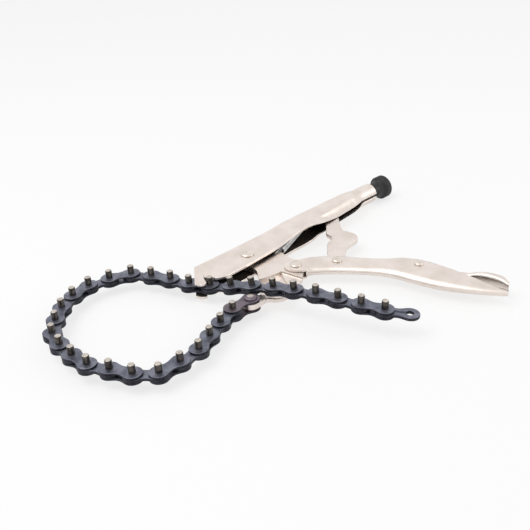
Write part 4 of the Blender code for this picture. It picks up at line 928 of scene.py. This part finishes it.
def rivet_profile(radius, face, shank):
    """Upper dome with its punch mark, rim, shank, and the same below."""
    r = radius * np.sin(np.linspace(0.0, np.pi / 2, 20))
    dome = HEAD_HEIGHT * (0.30 + 0.70 * np.sqrt(np.maximum(1 - (r / radius) ** 2, 0.0)))
    struck = 0.45 * np.exp(-((r / (0.17 * radius)) ** 2))
    mark = struck - 0.12 * np.exp(-(((r - 0.33 * radius) / (0.10 * radius)) ** 2))
    top = np.column_stack([r, face + 0.15 + dome - mark])
    side = np.array([(radius, face + 0.15), (shank, face + 0.15)])
    upper = np.concatenate([top, side])
    return np.concatenate([upper, upper[::-1] * [1.0, -1.0]])


for name, centre, head, face, shank, body in (
    ("main_pivot_rivet", (0.0, 0.0), 5.0, HALF_FRONT, 3.4, "body"),
    ("handle_pivot_rivet", HANDLE_PIVOT, 4.2, HANDLE_HALF, 2.5, "handle"),
    ("toggle_pivot_rivet", TOGGLE_PIVOT, 3.7, HANDLE_HALF, 2.5, "handle"),
    ("lever_pivot_rivet", LEVER_PIVOT, 3.3, lever_face, 2.5, "handle"),
    ("anchor_rivet", ANCHOR, 4.4, ANCHOR_INSIDE + OUTER_PLATE, 2.5, "jaw"),
):
    points, quads, finish = turned(rivet_profile(head, face, shank), centre, 56)
    finishes = [rivet_nickel]
    if name == "anchor_rivet":
        away = np.linalg.norm((points[:, :2] - np.asarray(centre)[:2])[quads].mean(axis=1), axis=1)
        finish[away > 0.5 * head] = 1
        finishes = [pin_end, anchor_blue]
    make_piece("domed_" + name, (world(points), quads, finish), finishes, body,
        [name])

# %% [markdown]
# ## The return spring
# A close-wound extension spring pulls the jaw open. It has a hook at the jaw and a loop at its post.
# Three tubes make it: the hook along a smooth curve, the coil as a helix, and the loop as part of a
# circle. A helix is the spring's line plus a circle that turns as it goes.

# %% Spring surface
EYE, POST = np.array([19.5, -9.5, 0.0]), np.array([74.0, 11.6, 0.0])
WIRE, COIL, LEAD, JAW_HALF, POST_RADIUS = 0.5, 2.7, 9.0, 1.9, 1.5
reach = POST - EYE
pull = reach / np.linalg.norm(reach)
across_pull = np.array([-pull[1], pull[0], 0.0])
over = JAW_HALF + WIRE + 0.15
loop_radius = POST_RADIUS + WIRE + 0.45
coil_from, coil_to = EYE + pull * LEAD, POST - pull * (LEAD / 2 + loop_radius)
turns = int(np.linalg.norm(coil_to - coil_from) / (2 * WIRE * 1.12))
hook_line = [EYE + [0, 0, -over - 0.4], EYE + [0, 0, 0.3], EYE + [0, 0, over - 0.4],
    EYE + pull * 0.9 + [0, 0, over + 0.1],
             EYE + pull * LEAD * 0.5 + [0, 0, over], EYE + pull * LEAD * 0.9 + [0, 0, COIL],
             coil_from + [0, 0, COIL]]
angle = np.pi / 2 + 2 * np.pi * np.linspace(0.0, turns, turns * 20 + 1)
share = np.linspace(0.0, 1.0, len(angle))[:, None]
coil_ring = np.cos(angle)[:, None] * across_pull + np.sin(angle)[:, None] * np.array([0, 0, 1])
coil = coil_from + (coil_to - coil_from) * share + COIL * coil_ring
post_angle = np.pi - np.linspace(0.0, 1.75 * np.pi, 40)
post_ring = np.cos(post_angle)[:, None] * pull + np.sin(post_angle)[:, None] * across_pull
post_loop = POST + loop_radius * post_ring
lead_out = curve_through([coil[-1], coil_to + pull * 1.5 + [0, 0, 1.2], coil_to + pull * 3.2,
    post_loop[0]], 8, closed=False)
spring_solid = together(tube(curve_through(hook_line, 8, closed=False), WIRE, across_pull),
    tube(coil, WIRE, pull, 8),
                        tube(lead_out, WIRE, across_pull), tube(post_loop, WIRE, [0, 0, 1]))
make_piece("wound_spring", (world(spring_solid[0]), *spring_solid[1:]), [wire], "body",
    ["return_spring"], 80.0)
print("spring turns", turns)

# %% [markdown]
# ## Adjusting screw and knob
# The screw runs in a bush in the rolled tube. Its thread is a grid round and along the screw, whose
# radius falls and rises with the distance along minus one pitch per turn. The knob is a neck and a short
# drum with a diamond knurl: two sets of crossed grooves, one leaning each way, cut where the drum is.

# %% Screw surface
def along_screw(points):
    """Lay a piece turned about its own height along the screw: height becomes X, its X becomes -Z."""
    points = np.asarray(points, float)
    return np.stack([points[..., 2], points[..., 1] + SCREW_HEIGHT, -points[..., 0]], axis=-1)


SCREW_RADIUS, THREAD_PITCH, THREAD_DEPTH = 3.6, 1.25, 0.55
NECK, DRUM, KNOB_RADIUS, NECK_RADIUS = 11.5, 7.5, 9.7, 6.4
screw_tip, screw_end = SCREW_SEAT[0] + TIP_RADIUS + 0.9, REAR_REACH + NECK + DRUM / 2
height = np.linspace(screw_tip, screw_end, int((screw_end - screw_tip) / THREAD_PITCH * 8))
angle = 2 * np.pi * np.arange(28) / 28
phase = (height[:, None] / THREAD_PITCH - angle[None] / (2 * np.pi)) % 1.0
radius = SCREW_RADIUS - THREAD_DEPTH * (1 - np.abs(2 * phase - 1))
radius = np.minimum(radius, SCREW_RADIUS - 0.9 + (height - screw_tip)[:, None])
radius = np.concatenate([radius[:1] * 0, radius, radius[-1:] * 0])
height = np.concatenate([height[:1], height, height[-1:]])
screw = np.stack([radius * np.cos(angle), radius * np.sin(angle), np.repeat(height[:, None], 28, axis=1)],
    axis=-1)
make_piece("threaded_screw", shell(world(along_screw(screw)), wrap_columns=True), [wire],
    "adjusting_screw", ["adjusting_screw"])

# %% Knob surface
start = REAR_REACH + 0.3
drum, stop = start + NECK, start + NECK + DRUM
knob_line = [(3.75, start), (NECK_RADIUS - 0.4, start), (NECK_RADIUS, start + 0.4),
    (NECK_RADIUS, start + NECK * 0.55),
             (NECK_RADIUS + 0.3, start + NECK * 0.78), (KNOB_RADIUS - 1.9, drum - 0.15),
             (KNOB_RADIUS - 0.95, drum), (KNOB_RADIUS - 0.1, drum + 0.9)]
knurl_line = [(KNOB_RADIUS - 0.1, h) for h in np.linspace(drum + 0.9, stop - 1.0, 34)[1:]]
face_line = [(KNOB_RADIUS - 1.0, stop), (KNOB_RADIUS * 0.74, stop), (KNOB_RADIUS * 0.66, stop - 1.4),
    (0.0, stop - 1.6)]
profile = np.array(knob_line + knurl_line + face_line)
sides = 288
angle = 2 * np.pi * np.arange(sides) / sides
KNURL_COUNT, KNURL_LEAN, KNURL_DEPTH = 44, 1.45, 0.34
lean = profile[:, 1:] * KNURL_LEAN
left = np.abs(np.sin(KNURL_COUNT / 2 * angle[None] + lean))
other = np.abs(np.sin(KNURL_COUNT / 2 * angle[None] - lean))
cut = np.zeros(len(profile))
cut[len(knob_line):len(knob_line) + len(knurl_line) - 1] = 1.0
groove = KNURL_DEPTH * cut[:, None] * (1 - np.minimum(left, other) ** 0.5)
radius = profile[:, :1] - groove
knob = np.stack([radius * np.cos(angle), radius * np.sin(angle),
    np.repeat(profile[:, 1:], sides, axis=1)], axis=-1)
socket = np.array([(0.0, screw_end + 0.3), (3.75, screw_end + 0.3)])
socket_ring = np.stack([np.cos(angle), np.sin(angle), 0 * angle], axis=-1)[None]
socket = socket[:, :1, None] * socket_ring + np.array([0, 0, 1]) * socket[:, 1:, None]
knob_solid = shell(world(along_screw(np.concatenate([socket, knob]))), wrap_columns=True)
make_piece("knurled_knob", knob_solid, [black], "adjusting_knob", ["adjusting_knob"], 60.0)

# %% [markdown]
# ## Pieces that stay as they are
# The bush and the spring's post are plain turned pieces deep inside the body. Their CAD solids are right
# as they are, and only take a finish.

# %% Finish the kept nodes
for node, finish in (("threaded_bush", wire), ("spring_post", rivet_nickel)):
    data = frame["nodes"][node].data
    data.materials.clear()
    data.materials.append(finish)
for name, item in frame["nodes"].items():
    if not item.hide_render and name not in ("threaded_bush", "spring_post"):
        print("still plain:", name)
